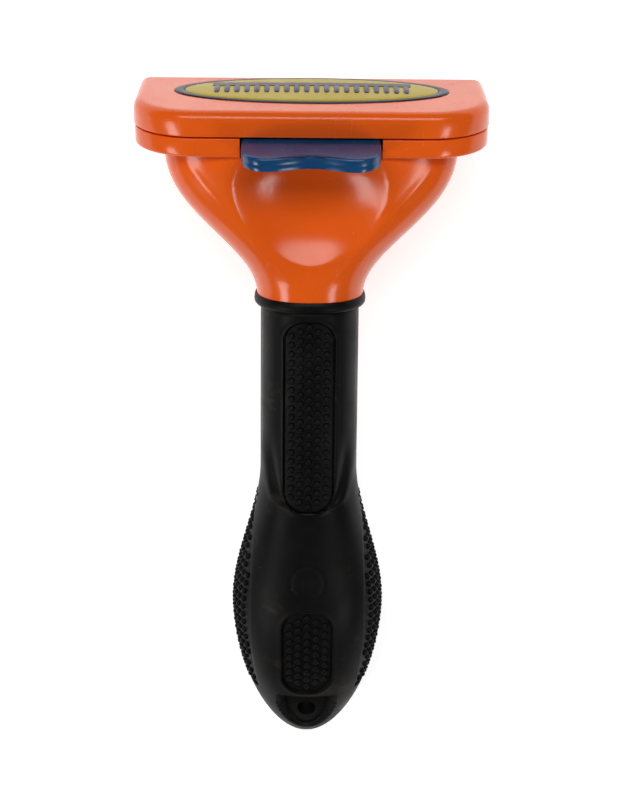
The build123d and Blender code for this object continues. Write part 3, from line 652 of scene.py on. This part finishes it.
def headShell():
    # from the inside out: hollow of the funnel, floor, pocket, flange with its openings for the button and
    # the hair bar, ledge, funnel with the scoop, neck, and the tang inside the grip
    b = body

    def opened(points):
        points = points.copy()
        z = points[:, 2]
        z[slotColumns] = np.minimum(z[slotColumns], b["slotBottom"])
        z[windowColumns] = np.minimum(z[windowColumns], b["floor"])
        return points

    def widened(points):
        # the button's way keeps the slot's full width over the floor
        points = points.copy()
        across, slot = np.abs(outline[:, 0]), head["slotHalf"]
        wanted = np.where(slotColumns, across, slot + 0.12 + 0.05 * (across - slot))
        wide = np.where(onFront, np.maximum(np.abs(points[:, 0]), wanted), np.abs(points[:, 0]))
        points[:, 0] = np.sign(points[:, 0]) * wide
        return points

    rings = [funnelRing(share, b["shellWall"], b["scoopDepth"]) for share in np.linspace(0.7, 0.0, 12)]
    sill = funnelRing(0.0, b["shellWall"] - 0.03, b["scoopDepth"])
    sill[:, 2] = b["floor"]
    rings.append(opened(widened(sill)))
    rings[-2] = opened(widened(rings[-2]))
    pocket = headRing(b["inset"] + b["wall"])
    pocket[:, 0] = np.clip(pocket[:, 0], -head["windowHalf"], head["windowHalf"])
    rings.append(opened(atHeight(pocket * 0.999, b["floor"])))
    for inset, height in ((b["inset"] + b["edge"] * 2.5, b["flangeTop"]),
                          (b["inset"] + b["edge"], b["flangeTop"]),
                          (b["inset"] + b["edge"] * 0.3, b["flangeTop"] - b["edge"] * 0.3),
                          (b["inset"], b["flangeTop"] - b["edge"])):
        if inset > b["inset"] + b["edge"] * 2:
            rings.append(opened(atHeight(pocket, height)))
        rings.append(opened(atHeight(headRing(inset), height)))
    for turn in np.linspace(0, pi / 2, 6):
        inset = b["inset"] + b["lowRound"] * (1 - cos(turn))
        rings.append(opened(atHeight(headRing(inset), b["flangeBottom"] + b["lowRound"] * (1 - sin(turn)))))
    top = scooped(funnelRing(0.0))
    ledge = top.copy()
    ledge[:, :2] *= 1.012
    ledge[:, 2] = b["flangeBottom"]
    rings.append(opened(ledge))
    shares = np.concatenate((np.linspace(0.008, 0.05, 5), np.linspace(0.06, 0.96, 100),
                             np.linspace(0.965, 1.0, 6)))
    rings += [opened(scooped(funnelRing(share))) for share in shares]
    end = funnelRing(1.0)
    lean = radians(b["neckLean"])
    down = np.array((0.0, -sin(lean), -cos(lean)))
    middle = np.array((0.0, b["neckOffset"], b["flangeBottom"] - b["drop"]))
    x, y = superRing(columnTurn, b["tangWidth"] / 2, b["tangDepth"] / 2, b["tangDepth"] / 2, 5.0)
    tang = leaning(x, y, middle[1], middle[2], lean)
    rings.append(middle + (end - middle) * 0.97)
    rings.append(middle + (tang - middle) * 1.02)
    rings += [tang + down * 0.3, tang + down * (b["tangLength"] - 0.8)]
    rings.append(middle + (tang - middle) * 0.9 + down * b["tangLength"])
    return shell(rings)


makePiece("headBody", headShell(), orange, "handle", ["head_body"], 34)

screws = {"places": ((35.8, -2.0), (35.8, 9.0), (-35.8, -2.0), (-35.8, 9.0)), "head": 1.65, "height": 0.75,
          "shank": 1.0, "into": -2.4, "recess": 0.55}


def screwShell():
    # pan-head screws under the flange with a cross recess: depth falls with the nearer of |x| and |y|
    s = screws
    turn = np.arange(48) * tau / 48
    circle = np.stack((np.cos(turn), np.sin(turn)), -1)
    under = body["flangeBottom"]

    def level(radius, height):
        ring = circle * radius
        cross = smoothStep((0.28 - np.minimum(np.abs(ring[:, 0]), np.abs(ring[:, 1]))) / 0.12)
        cross = cross * smoothStep((1.15 - radius) / 0.2) if radius < 1.3 else 0 * cross
        return atHeight(ring, under - height + s["recess"] * cross)

    rings = [atHeight(circle * s["shank"], s["into"]), atHeight(circle * s["shank"], under + 0.3),
             atHeight(circle * s["head"], under + 0.3), atHeight(circle * s["head"], under - 0.25)]
    for radius, height in ((1.55, 0.48), (1.35, 0.64), (1.15, 0.71), (1.0, 0.73), (0.8, 0.75), (0.55, 0.75),
                           (0.35, 0.75), (0.18, 0.75)):
        rings.append(level(radius, height))
    one = shell(rings, None, (0, 0, under - s["height"] + s["recess"]))
    parts = []
    for x, y in s["places"]:
        parts.append((one[0] + (x, y, 0), one[1], one[2]))
    return joined(*parts)


makePiece("coverScrews", screwShell(), screwSteel, "handle", ["cover_screws"], 30)

button = {
    "half": 14.9, "root": -2.0, "reach": 11.2, "hollow": 2.0, "lobe": 9.6, "corner": 5.6,
    "front": -15.8, "top": -6.05, "thick": 3.0, "slope": 5.5, "edge": 0.45,
}


def buttonShell():
    # top view: straight sides, quarter-ellipse corners into two lobes with a cosine hollow between them
    b = button
    sideRun = np.linspace(b["root"], b["reach"] - b["corner"], 8)[:-1]
    corner = np.linspace(0, pi / 2, 16)[:-1]
    wave = np.linspace(1, -1, 49)
    cornerX = b["lobe"] + (b["half"] - b["lobe"]) * np.cos(corner)
    cornerV = b["reach"] - b["corner"] + b["corner"] * np.sin(corner)
    waveV = b["reach"] - b["hollow"] / 2 * (1 + np.cos(pi * wave))
    rootX = np.linspace(-b["half"], b["half"], 14)[1:-1]
    x = np.concatenate((np.full(7, b["half"]), cornerX, b["lobe"] * wave, -cornerX[::-1],
                        np.full(7, -b["half"]), rootX))
    v = np.concatenate((sideRun, cornerV, waveV, cornerV[::-1], sideRun[::-1], np.full(12, b["root"])))
    ring = np.stack((x, v), -1)
    tangent = np.roll(ring, -1, 0) - np.roll(ring, 1, 0)
    normal = np.stack((tangent[:, 1], -tangent[:, 0]), -1)
    normal /= np.linalg.norm(normal, axis=1)[:, None]
    if (normal * (ring - (0, 4))).sum() < 0:
        normal = -normal
    slope = radians(b["slope"])

    def level(inset, depth):
        flat = ring - normal * inset
        return np.stack((flat[:, 0], b["front"] - flat[:, 1] * cos(slope) - depth * sin(slope),
                         b["top"] - flat[:, 1] * sin(slope) - depth * cos(slope)), -1)

    edge, thick = b["edge"], b["thick"]
    profile = [(edge * 3, thick), (edge, thick), (edge * 0.3, thick - edge * 0.3), (0.04, thick - edge),
               (0.0, thick * 0.62), (0.05, thick * 0.56), (0.05, thick * 0.50), (0.0, thick * 0.44)]
    for turn in np.linspace(0, pi / 2, 7):
        profile.append((edge * (1 - cos(turn)), edge * (1 - sin(turn))))
    rings = [level(inset, depth) for inset, depth in profile]
    top = level(edge, 0.0)
    middle = level(0.0, 0.0)[7:-20].mean(0) * (0, 1, 1)
    rings += [middle + (top - middle) * share for share in (0.985, 0.95, 0.8, 0.6, 0.4, 0.2)]
    return shell(rings)


makePiece("thumbButton", buttonShell(), blue, "ejector", ["thumb_button"], 40)

blade = {
    "half": 33.65, "from": -1.0, "teethFrom": 22.5, "tip": 28.5, "top": -4.4, "bottom": -5.3, "teeth": 44,
    "pitch": 1.5, "toothRoot": 0.42, "toothTip": 0.20, "edge": 0.12,
}


def bladeShell():
    # a flat ground plate, and teeth that taper in width and thickness to rounded tips
    b = blade
    middleY = (b["from"] + b["teethFrom"]) / 2
    halfY = (b["teethFrom"] - b["from"]) / 2
    middleZ = (b["top"] + b["bottom"]) / 2
    halfZ = (b["top"] - b["bottom"]) / 2
    ring = roundedBar(0, middleY, b["half"], halfY, 40.0, 96)
    small = ring * (1 - b["edge"] / b["half"], 1) + (0, 0)
    plateRings = [atHeight(small, middleZ - halfZ), atHeight(ring, middleZ - halfZ + b["edge"]),
                  atHeight(ring, middleZ + halfZ - b["edge"]), atHeight(small, middleZ + halfZ)]
    turn = (np.arange(10) + 0.5) * tau / 10
    rows = []
    profile = ((0.0, 1.25), (0.06, 1.05), (0.14, 1.0), (0.55, 0.80), (0.85, 0.62), (0.95, 0.48), (1.0, 0.22))
    for share, taper in profile:
        halfX = b["toothTip"] + (b["toothRoot"] - b["toothTip"]) * min(1.25, taper)
        tipX = halfX * (1 if share < 0.9 else taper / 0.62)
        thick = halfZ * (0.35 + 0.65 * min(1, taper))
        x, z = superRing(turn, tipX, thick, thick, 4.0)
        y = b["teethFrom"] - 0.2 + (b["tip"] - b["teethFrom"] + 0.2) * share
        rows.append(np.stack((x, np.full(len(x), y), z), -1))
    tooth = shell(rows)
    count = b["teeth"]
    centres = np.zeros((count, 3))
    centres[:, 0] = (np.arange(count) - (count - 1) / 2) * b["pitch"]
    centres[:, 2] = middleZ
    eye = np.broadcast_to(np.eye(3), (count, 3, 3))
    return joined(shell(plateRings), copies(tooth, centres, eye[:, 0], eye[:, 1], eye[:, 2]))


makePiece("toothedBlade", bladeShell(), bladeSteel, "handle", ["blade"], 40)

spring = {"x": 17.0, "z": -11.0, "start": -5.2, "end": 9.8, "radius": 2.1, "wire": 0.25, "turns": 7.0,
          "travel": 9.0}


def springShell(side):
    # wire carried along a coil: the pitch is smaller in the first and last turn, so the ends lie flat
    s = spring
    way = np.linspace(0, 1, 190)
    ease = way + 0.045 * np.sin(tau * way) * -1
    turn = tau * s["turns"] * way
    y = s["start"] + s["wire"] + (s["end"] - s["start"] - 2 * s["wire"]) * ease
    line = np.stack((side * s["x"] + s["radius"] * np.cos(turn), y,
                     s["z"] + s["radius"] * np.sin(turn)), -1)
    ahead = np.gradient(line, axis=0)
    ahead /= np.linalg.norm(ahead, axis=1)[:, None]
    out = np.stack((np.cos(turn), 0 * turn, np.sin(turn)), -1)
    up = np.cross(ahead, out)
    round8 = np.arange(8) * tau / 8
    rings = line[:, None] + s["wire"] * (np.cos(round8)[None, :, None] * out[:, None]
                                         + np.sin(round8)[None, :, None] * up[:, None])
    return shell(rings)


for side, sideName in ((-1, "left"), (1, "right")):
    coil = makePiece("returnSpring_" + sideName, springShell(side), wireSteel, "handle",
                     ["return_spring_" + sideName])
    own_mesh(coil)
print("head done")

# ---------- grip ----------
grip = {
    "length": 112.4, "neckLean": 5.5, "tailLean": -3.0, "startY": -1.0, "startZ": -45.8,
    "neck": 22.4, "swellWidth": 35.3, "swellDepth": 28.6, "swellAt": 0.668, "swellFrom": 0.362,
    "power": 2.2, "fullness": 1.82, "roundness": 0.57,
    "skin": 2.55,
}
lineSteps = 448
midShares = (np.arange(lineSteps) + 0.5) / lineSteps


def gripLean(drop):
    # the neck's lean, turning into the tail's
    g = grip
    turned = smoothStep((drop / g["length"] - 0.3) / 0.6)
    return np.radians(g["neckLean"] + (g["tailLean"] - g["neckLean"]) * turned)


stepLean = gripLean(midShares * grip["length"])
lineDrop = np.linspace(0, grip["length"], lineSteps + 1)
lineY = grip["startY"] - np.concatenate(((0,), np.cumsum(np.sin(stepLean)))) * grip["length"] / lineSteps
lineZ = grip["startZ"] - np.concatenate(((0,), np.cumsum(np.cos(stepLean)))) * grip["length"] / lineSteps


def gripHalf(drop):
    # half width and depth: the neck's, opening to the swell, then closed to the tail
    # by (1 - past^fullness)^roundness
    g = grip
    share = drop / g["length"]
    opened = smoothStep((share - g["swellFrom"]) / (g["swellAt"] - g["swellFrom"]))
    past = np.clip((share - g["swellAt"]) / (1 - g["swellAt"]), 0, 1)
    closed = (1 - past ** g["fullness"]) ** g["roundness"]
    return ((g["neck"] + (g["swellWidth"] - g["neck"]) * opened) / 2 * closed,
            (g["neck"] + (g["swellDepth"] - g["neck"]) * opened) / 2 * closed)


def gripPoint(drop, turn, sink=0.0, over=0.0):
    # point of the grip's surface: turn 0 is the middle of the thumb side, half a turn the blade side;
    # x = w sign(sin)|sin|^(2/p), y = -d sign(cos)|cos|^(2/p), then sunk along the section's normal
    wide, deep = gripHalf(drop)
    wide, deep = wide + over, deep + over
    power = grip["power"]
    s, c = np.sin(turn), np.cos(turn)
    x = wide * np.sign(s) * np.abs(s) ** (2 / power)
    y = -deep * np.sign(c) * np.abs(c) ** (2 / power)
    nx = np.sign(s) * np.abs(s) ** (2 - 2 / power) / np.maximum(wide, 0.01)
    ny = -np.sign(c) * np.abs(c) ** (2 - 2 / power) / np.maximum(deep, 0.01)
    size = np.hypot(nx, ny)
    x = x - sink * nx / size
    y = y - sink * ny / size
    lean = gripLean(drop)
    return leaning(x, y, np.interp(drop, lineDrop, lineY), np.interp(drop, lineDrop, lineZ), lean)


def turnAt(drop, x):
    # the turn at which the surface stands x off the middle
    wide = gripHalf(drop)[0]
    share = np.clip(np.abs(x) / wide, 0, 1)
    return np.sign(x) * np.arcsin(share ** (grip["power"] / 2))


pads = {
    "half": 5.8, "corner": 4.64, "thumb": (4.5, 49.2), "palm": (72.6, 94.9), "sideEnd": 96.0,
    "sink": 0.70, "depth": 1.15, "sideSink": 0.55, "wallWidth": 0.22,
}


# half-moon let into the tail, deepest at its straight edge
moon = {"from": 96.6, "half": 7.3, "length": 12.2, "depth": 3.9}
# smooth panel between the side pads
panel = {"middle": 77.0, "before": 35.0, "after": 19.0, "ends": 11.7, "swell": 2.1}


def sideEdge(drop):
    # edge of the smooth panel between the side pads: widest at the swell, falling off with the square
    p = panel
    before = (p["middle"] - drop) / p["before"]
    after = (drop - p["middle"]) / p["after"]
    return p["ends"] + p["swell"] * (1 - np.clip(np.where(drop < p["middle"], before, after), 0, 1.2) ** 2)


def padShape(x, drop, span):
    # distance inside a rectangle with round corners: positive inside
    middle, half = (span[0] + span[1]) / 2, (span[1] - span[0]) / 2
    corner = pads["corner"]
    outX = np.abs(x) - pads["half"] + corner
    outZ = np.abs(drop - middle) - half + corner
    outside = np.hypot(np.maximum(outX, 0), np.maximum(outZ, 0))
    return corner - outside - np.minimum(np.maximum(outX, outZ), 0)


# what is let into the skin besides the pads: a groove that draws in round the lower end of the thumb pad,
# a step near each side of the upper grip, and a faint sign of a ring with three bars
groove = {"middle": 33.2, "reach": 15.0, "from": 30.5, "fade": 9.0, "to": 48.7, "inner": 4.2, "bulge": 4.4,
          "depth": 0.42, "width": 1.0, "ridge": 0.22, "ridgeOut": 1.7}
crease = {"share": 0.945, "from": 2.5, "to": 45.0, "depth": 0.13}
sign = {"drop": 65.5, "radius": 3.9, "line": 0.32, "barLine": 0.30, "barGap": 1.4, "barHalf": 1.9,
        "proud": 0.12}
sideBand = {"from": 46.2, "to": 96.2, "depth": 1.18}


def gripSink(x, drop, thumbSide):
    # depth of everything let into the skin, as a function of the place on it
    width = pads["wallWidth"]
    depth = np.zeros(np.broadcast(x, drop).shape)
    for span in (pads["thumb"], pads["palm"]):
        inside = smoothStep(padShape(x, drop, span) / width + 0.5) * thumbSide
        lip = bump(padShape(x, drop, span) + 0.55, 0.45) * thumbSide
        depth = depth + inside * (pads["depth"] + 0.03) - 0.10 * lip
    edge = np.abs(x) - sideEdge(drop)
    b = sideBand
    beside = smoothStep(edge / 0.3 + 0.5)
    beside = beside * smoothStep((drop - b["from"]) / 1.2) * smoothStep((b["to"] - drop) / 0.3)
    depth = depth + beside * b["depth"]
    g = groove
    grooveX = g["inner"] + g["bulge"] * np.sqrt(np.clip(1 - ((drop - g["middle"]) / g["reach"]) ** 2, 0, 1))
    reach = smoothStep((drop - g["from"]) / g["fade"]) * smoothStep((g["to"] - drop) / 2) * thumbSide
    depth = depth + g["depth"] * bump(np.abs(x) - grooveX, g["width"]) * reach
    depth = depth - g["ridge"] * bump(np.abs(x) - grooveX - g["ridgeOut"], g["width"] * 1.1) * reach
    c = crease
    wide = gripHalf(drop)[0]
    step = smoothStep((np.abs(x) / wide - c["share"]) / 0.02)
    step = step * smoothStep((drop - c["from"]) / 2) * smoothStep((c["to"] - drop) / 8)
    depth = depth + c["depth"] * step * thumbSide
    m = moon
    out = (x / m["half"]) ** 2 + ((drop - m["from"]) / m["length"]) ** 2
    inside = smoothStep((1 - out) / 0.16) * smoothStep((drop - m["from"]) / 0.35 + 0.5)
    floorFall = m["depth"] * np.clip(1 - 0.75 * (drop - m["from"]) / m["length"], 0, 1)
    depth = depth + floorFall * inside * thumbSide
    n = sign
    ringLine = bump(np.hypot(x, drop - n["drop"]) - n["radius"], n["line"])
    barHeight = smoothStep((n["barHalf"] - np.abs(drop - n["drop"])) / 0.5)
    bars = sum(bump(x - n["barGap"] * place, n["barLine"]) * barHeight for place in (-1, 0, 1))
    return depth + n["proud"] * np.maximum(ringLine, bars) * thumbSide


def gripRows():
    # drops below the neck, closer together where edges cross the grip
    stretches = ((2.9, 4.6, 0.34), (4.6, 10.2, 0.20), (10.2, 44.0, 0.62), (44.0, 51.0, 0.22),
                 (51.0, 60.5, 0.5), (60.5, 71.0, 0.28), (71.0, 78.6, 0.22), (78.6, 91.5, 0.5),
                 (91.5, 101.0, 0.21), (101.0, 110.4, 0.3))
    rows = [np.arange(start, end - 1e-6, step) for start, end, step in stretches]
    start = stretches[-1][1]
    tail = start + (grip["length"] - 0.015 - start) * np.sin(np.linspace(0, pi / 2, 12))
    return np.concatenate((*rows, tail))


def gripTurns(drop):
    # columns round the grip: one pair stands on each edge of the front pads,
    # and one on each edge of the side pads
    wide = gripHalf(drop)[0]
    padTurn = turnAt(drop, np.minimum(pads["half"], 0.55 * wide))
    sideTurn = turnAt(drop, np.minimum(sideEdge(drop), 0.93 * wide))
    quarter = np.full_like(drop, pi / 2)
    marks = np.stack((0 * drop, padTurn, sideTurn, quarter, pi - sideTurn, pi + 0 * drop), -1)
    gap = 0.022
    steps = (np.linspace(0, 1 - gap, 17), 1 + np.linspace(gap, 1 - gap * 0.8, 19),
             2 + np.linspace(gap * 0.8, 1, 14),
             3 + np.linspace(0, 1 - gap * 0.8, 14)[1:], 4 + np.linspace(gap * 0.6, 1, 24))
    column = np.concatenate(steps)
    which = np.minimum(column.astype(int), 4)
    part = column - which
    half = marks[:, which] + (marks[:, which + 1] - marks[:, which]) * part
    return np.concatenate((half, tau - half[:, -2:0:-1]), axis=1)


def skinShell():
    # inner wall, rolled collar against the neck, outer surface with everything let into it, closed tail
    rows = gripRows()
    turns = gripTurns(rows)
    wide = gripHalf(rows)[0][:, None]
    x = wide * np.sign(np.sin(turns)) * np.abs(np.sin(turns)) ** (2 / grip["power"])
    thumbSide = (np.cos(turns) > 0).astype(float)
    sink = gripSink(x, rows[:, None], thumbSide)
    outer = gripPoint(rows[:, None], turns, sink)
    # collar: (drop, how far it stands over the neck, share of the grip's own size in it)
    collar = ((0.02, -1.2, 0.0), (0.0, -0.05, 0.0), (-0.28, 0.03, 0.0), (-0.36, 0.12, 0.0),
              (-0.30, 0.27, 0.0), (0.0, 0.42, 0.0), (0.5, 0.54, 0.0), (1.1, 0.57, 0.0), (1.6, 0.48, 0.0),
              (1.95, 0.26, 0.05), (2.15, -0.05, 0.1), (2.25, -0.34, 0.4), (2.35, -0.26, 0.75),
              (2.52, -0.1, 1.0), (2.72, -0.02, 1.0))
    neckHalf = np.array((body["neckWidth"] / 2, body["neckDepth"] / 2))
    firstTurns = turns[0]
    collarRings = []
    for drop, over, share in collar:
        half = neckHalf * (1 - share) + grip["neck"] / 2 * share + over
        s, c = np.sin(firstTurns), np.cos(firstTurns)
        collarX = half[0] * np.sign(s) * np.abs(s) ** (2 / grip["power"])
        collarY = -half[1] * np.sign(c) * np.abs(c) ** (2 / grip["power"])
        lean = gripLean(0.0)
        collarRings.append(leaning(collarX, collarY, grip["startY"] - drop * sin(lean),
                                   grip["startZ"] - drop * cos(lean), lean))
    innerDrops = 95.4 * np.sin(np.linspace(0.98 * pi / 2, 0, 40))
    innerTurns = gripTurns(np.maximum(innerDrops, 0.0))
    inner = gripPoint(innerDrops[:, None], innerTurns, grip["skin"])
    rings = np.concatenate((inner, np.array(collarRings), outer))
    return shell(rings)


hole = frame["record"]["mounts"][0]
skin = makePiece("gripSkin", skinShell(), rubber, "handle", ["grip_skin"], 32)


def boreHole(piece):
    # the hanging hole, cut along the mount's own axis and radius
    radius = hole["dims"]["r_mm"] / 1000
    middle = np.array(hole["pos_m"], float)
    axis = np.array(hole["axis"], float)
    axis /= np.linalg.norm(axis)
    side = np.cross(axis, acrossAxis)
    turn = np.arange(48) * tau / 48
    circle = np.cos(turn)[:, None] * acrossAxis + np.sin(turn)[:, None] * side
    rings = [middle + circle * radius + axis * reach for reach in (-0.03, 0.03)]
    points, quads, triangles = shell(rings)
    cutterMesh = bpy.data.meshes.new("cutter")
    cutterMesh.from_pydata(points.tolist(), [], quads.tolist() + triangles.tolist())
    cutter = bpy.data.objects.new("cutter", cutterMesh)
    bpy.context.scene.collection.objects.link(cutter)
    cut = piece.modifiers.new("hole", "BOOLEAN")
    cut.operation = "DIFFERENCE"
    cut.solver = "EXACT"
    cut.object = cutter
    bpy.context.view_layer.update()
    cutMesh = bpy.data.meshes.new_from_object(piece.evaluated_get(bpy.context.evaluated_depsgraph_get()))
    piece.modifiers.remove(cut)
    old = piece.data
    piece.data = cutMesh
    cutMesh.name = old.name + "Cut"
    cutMesh.polygons.foreach_set("use_smooth", np.ones(len(cutMesh.polygons), bool))
    cutMesh.set_sharp_from_angle(angle=radians(32))
    bpy.data.objects.remove(cutter)
    bpy.data.meshes.remove(old)
    bpy.data.meshes.remove(cutterMesh)
    print("hole cut,", len(cutMesh.polygons), "faces")


boreHole(skin)


def dome(rows, columns):
    # a stud of unit radius: rings of (radius, height), closed above and below
    turn = np.arange(columns) * tau / columns
    circle = np.stack((np.cos(turn), np.sin(turn)), -1)
    return shell([atHeight(circle * radius, height) for radius, height in rows[:-1]], (0, 0, rows[0][1]),
                 (0, 0, rows[-1][1]))


dimpled = dome(((1.0, -0.4), (1.0, 0.05), (0.93, 0.42), (0.74, 0.76), (0.45, 0.95), (0.22, 0.95),
                (0.0, 0.82)), 10)
plain = dome(((1.0, -0.4), (0.99, 0.12), (0.86, 0.55), (0.52, 0.9), (0.0, 1.02)), 8)


def surfaceFrames(drop, turn, sink):
    # place, two directions along the surface and its normal, from small steps along it
    here = gripPoint(drop, turn, sink)
    side = gripPoint(drop, turn + 0.01, sink) - here
    along = gripPoint(drop + 0.1, turn, sink) - here
    side /= np.linalg.norm(side, axis=-1, keepdims=True)
    normal = np.cross(side, along)
    normal /= np.linalg.norm(normal, axis=-1, keepdims=True)
    middleY, middleZ = np.interp(drop, lineDrop, lineY), np.interp(drop, lineDrop, lineZ)
    middle = np.stack((0 * drop, middleY, middleZ), -1)
    facing = np.sign(np.einsum("ij,ij->i", normal, here - middle))[:, None]
    normal = normal * facing
    along = np.cross(normal, side)
    return here, side, along, normal


def studs(part, drop, turn, sink, radius, height):
    here, side, along, normal = surfaceFrames(drop, turn, sink)
    points, quads, triangles = part
    sized = (points * (radius, radius, height), quads, triangles)
    return copies(sized, here, side, along, normal)


def padSlab(drops, fromTurn, toTurn, sink, depth, count=28):
    # slab under the studs: each section runs over the top and back underneath
    share = np.linspace(0, 1, count)
    top = fromTurn[:, None] + (toTurn - fromTurn)[:, None] * share
    bottom = top[:, ::-1]
    over, under = gripPoint(drops[:, None], top, sink), gripPoint(drops[:, None], bottom, depth)
    return shell(np.concatenate((over, under), axis=1))


front = {"pitch": 2.12, "radius": 0.86, "height": 0.62, "columns": 5}


def frontPad(span, firstHigh):
    # rounded slab with five columns of studs, every other column half a step lower
    start, end = span[0] + 0.08, span[1] - 0.08
    corner, half = pads["corner"], pads["half"] - 0.08
    ease = np.linspace(0.06, pi / 2, 9)
    ends = corner * (1 - np.cos(ease))
    straight = np.linspace(start + corner, end - corner, 30)[1:-1]
    drops = np.concatenate((start + ends, straight, end - ends[::-1]))
    fromEnd = np.minimum(drops - start, end - drops)
    inCorner = corner - np.clip(fromEnd, 0, corner)
    halfHere = half - corner + np.sqrt(np.maximum(corner ** 2 - inCorner ** 2, 0))
    turns = turnAt(drops, halfHere)
    slab = padSlab(drops, -turns, turns, pads["sink"], pads["depth"])
    column = np.arange(front["columns"]) - (front["columns"] - 1) / 2
    row = np.arange(int((end - start) / front["pitch"]) + 2)
    offset = np.where(np.abs(column) == 1, 0.5, 0.0)
    drop = (start + firstHigh + (row[:, None] + offset[None, :]) * front["pitch"]).ravel()
    x = np.broadcast_to(column * front["pitch"], (len(row), len(column))).ravel()
    keep = padShape(x, drop, span) > front["radius"] * 0.92
    drop, x = drop[keep], x[keep]
    dots = studs(dimpled, drop, turnAt(drop, x), pads["sink"], front["radius"], front["height"])
    return joined(slab, dots)


makePiece("thumbPad", frontPad(pads["thumb"], 1.0), padMaterial, "handle", ["thumb_pad"], 50)
makePiece("palmPad", frontPad(pads["palm"], 1.2), padMaterial, "handle", ["palm_pad"], 50)

flank = {"from": 47.4, "pitch": 2.0, "step": 2.0, "radius": 0.74, "height": 0.80, "columns": 13}


def sidePad(side):
    # slab round the side of the swell, with a square grid of round studs at equal distances over it
    start, end = flank["from"], pads["sideEnd"] - 0.1
    drops = np.linspace(start, end, 70)
    edge = turnAt(drops, np.minimum(sideEdge(drops) + 0.15, gripHalf(drops)[0] * 0.992))
    slab = padSlab(drops, side * edge, side * (pi - edge), pads["sideSink"], pads["depth"], 30)
    rows = np.arange(start + 0.9, end - 0.4, flank["step"])
    fine = np.linspace(0, pi, 500)
    line = gripPoint(rows[:, None], side * fine[None, :])
    arc = np.concatenate((np.zeros((len(rows), 1)),
                          np.cumsum(np.linalg.norm(np.diff(line, axis=1), axis=-1), axis=1)), axis=1)
    middle = arc[:, [len(fine) // 2]]
    column = (np.arange(flank["columns"]) - (flank["columns"] - 1) / 2) * flank["pitch"]
    wanted = middle + column[None, :]
    nearest = np.abs(arc[:, :, None] - wanted[:, None, :]).argmin(axis=1)
    turn = fine[nearest]
    drop = np.broadcast_to(rows[:, None], turn.shape)
    limit = turnAt(rows, np.minimum(sideEdge(rows) + 0.75, gripHalf(rows)[0] * 0.99))[:, None]
    keep = (turn > limit) & (turn < pi - limit)
    dots = studs(plain, drop[keep], side * turn[keep], pads["sideSink"], flank["radius"], flank["height"])
    return joined(slab, dots)


for side, sideName in ((-1, "left"), (1, "right")):
    makePiece("sidePad_" + sideName, sidePad(side), padMaterial, "handle",
              ["side_pad_" + sideName], 50)
print("grip done")

# ---------- floor, light and camera ----------
lamps = {       # place beside the head's middle, size and power
    "leftBox": ((-0.44, -0.34, 0.34), (0.18, 0.30), 1.3),
    "rightBox": ((0.42, -0.40, 0.46), (0.14, 0.24), 0.95),
    "overBox": ((0.0, 0.36, 0.74), (0.90, 0.26), 4.4),
}
stage = {"size": 4.0, "colour": (0.93, 0.93, 0.93), "glow": 0.62, "world": 0.05}


def makeFloor():
    half = stage["size"] / 2
    mesh = bpy.data.meshes.new("floor")
    corners = [(-half, -half, 0), (half, -half, 0), (half, half, 0), (-half, half, 0)]
    mesh.from_pydata(corners, [], [(0, 1, 2, 3)])
    make = Nodes("paleFloor")
    rough = make.span(make.noise(14, 4), 0.6, 0.75)
    colour = make.blend(make.span(make.noise(9, 3), 0, 0.3), stage["colour"], (0.90, 0.90, 0.90))
    mesh.materials.append(make.finish(colour, rough, None, **{
        "Emission Color": (1, 1, 1, 1), "Emission Strength": stage["glow"], "Specular IOR Level": 0.2}))
    floor = bpy.data.objects.new("floor", mesh)
    bpy.context.scene.collection.objects.link(floor)


def softBox(name, spot, target, size, power):
    light = bpy.data.lights.new(name, "AREA")
    light.shape = "RECTANGLE"
    light.size, light.size_y = size
    light.energy = power
    lamp = bpy.data.objects.new(name, light)
    bpy.context.scene.collection.objects.link(lamp)
    back = np.array(spot, float) - np.array(target, float)
    lamp.matrix_world = aimed(np.array(spot, float), back, np.array((0.0, 1.0, 0.0)))


def aimed(spot, back, up):
    # matrix of something at a spot that looks away from back, with up as near the given one as it can be
    back = back / np.linalg.norm(back)
    right = np.cross(up, back)
    right /= np.linalg.norm(right)
    up = np.cross(back, right)
    turned = Matrix.Identity(4)
    for row in range(3):
        for column, axis in enumerate((right, up, back, spot)):
            turned[row][column] = axis[row]
    return turned


makeFloor()
headMiddle = placed((0, -8, -12))
for name, (offset, size, power) in lamps.items():
    softBox(name, headMiddle + offset, headMiddle, size, power)
world = bpy.data.worlds.new("studio")
world.use_nodes = True
world.node_tree.nodes["Background"].inputs["Color"].default_value = (1, 1, 1, 1)
world.node_tree.nodes["Background"].inputs["Strength"].default_value = stage["world"]
bpy.context.scene.world = world
bpy.context.scene.view_settings.view_transform = "Standard"
bpy.context.scene.view_settings.look = "None"

view = {"elevation": 22.41, "distance": 487.5, "aimDrop": -72.8, "lens": 94.0, "roll": 0.5, "aimX": 0.0}


def makeCamera():
    # stands off the thumb side, raised towards the cover, and turned a little about its own line of sight
    v = view
    tilt = radians(v["elevation"])
    toCamera = toolAxes.T @ np.array((0.0, -cos(tilt), sin(tilt)))
    upward = toolAxes.T @ np.array((0.0, sin(tilt), cos(tilt)))
    roll = radians(v["roll"])
    upward = upward * cos(roll) - acrossAxis * sin(roll)
    spot = placed((v["aimX"], 0, v["aimDrop"])) + toCamera * v["distance"] / 1000
    camera = bpy.data.cameras.new("camera")
    camera.sensor_width = 36
    camera.lens = v["lens"]
    camera.clip_start = 0.01
    holder = bpy.data.objects.new("camera", camera)
    bpy.context.scene.collection.objects.link(holder)
    holder.matrix_world = aimed(spot, toCamera, upward)
    bpy.context.scene.camera = holder


makeCamera()
print("floor, lights and camera ready")
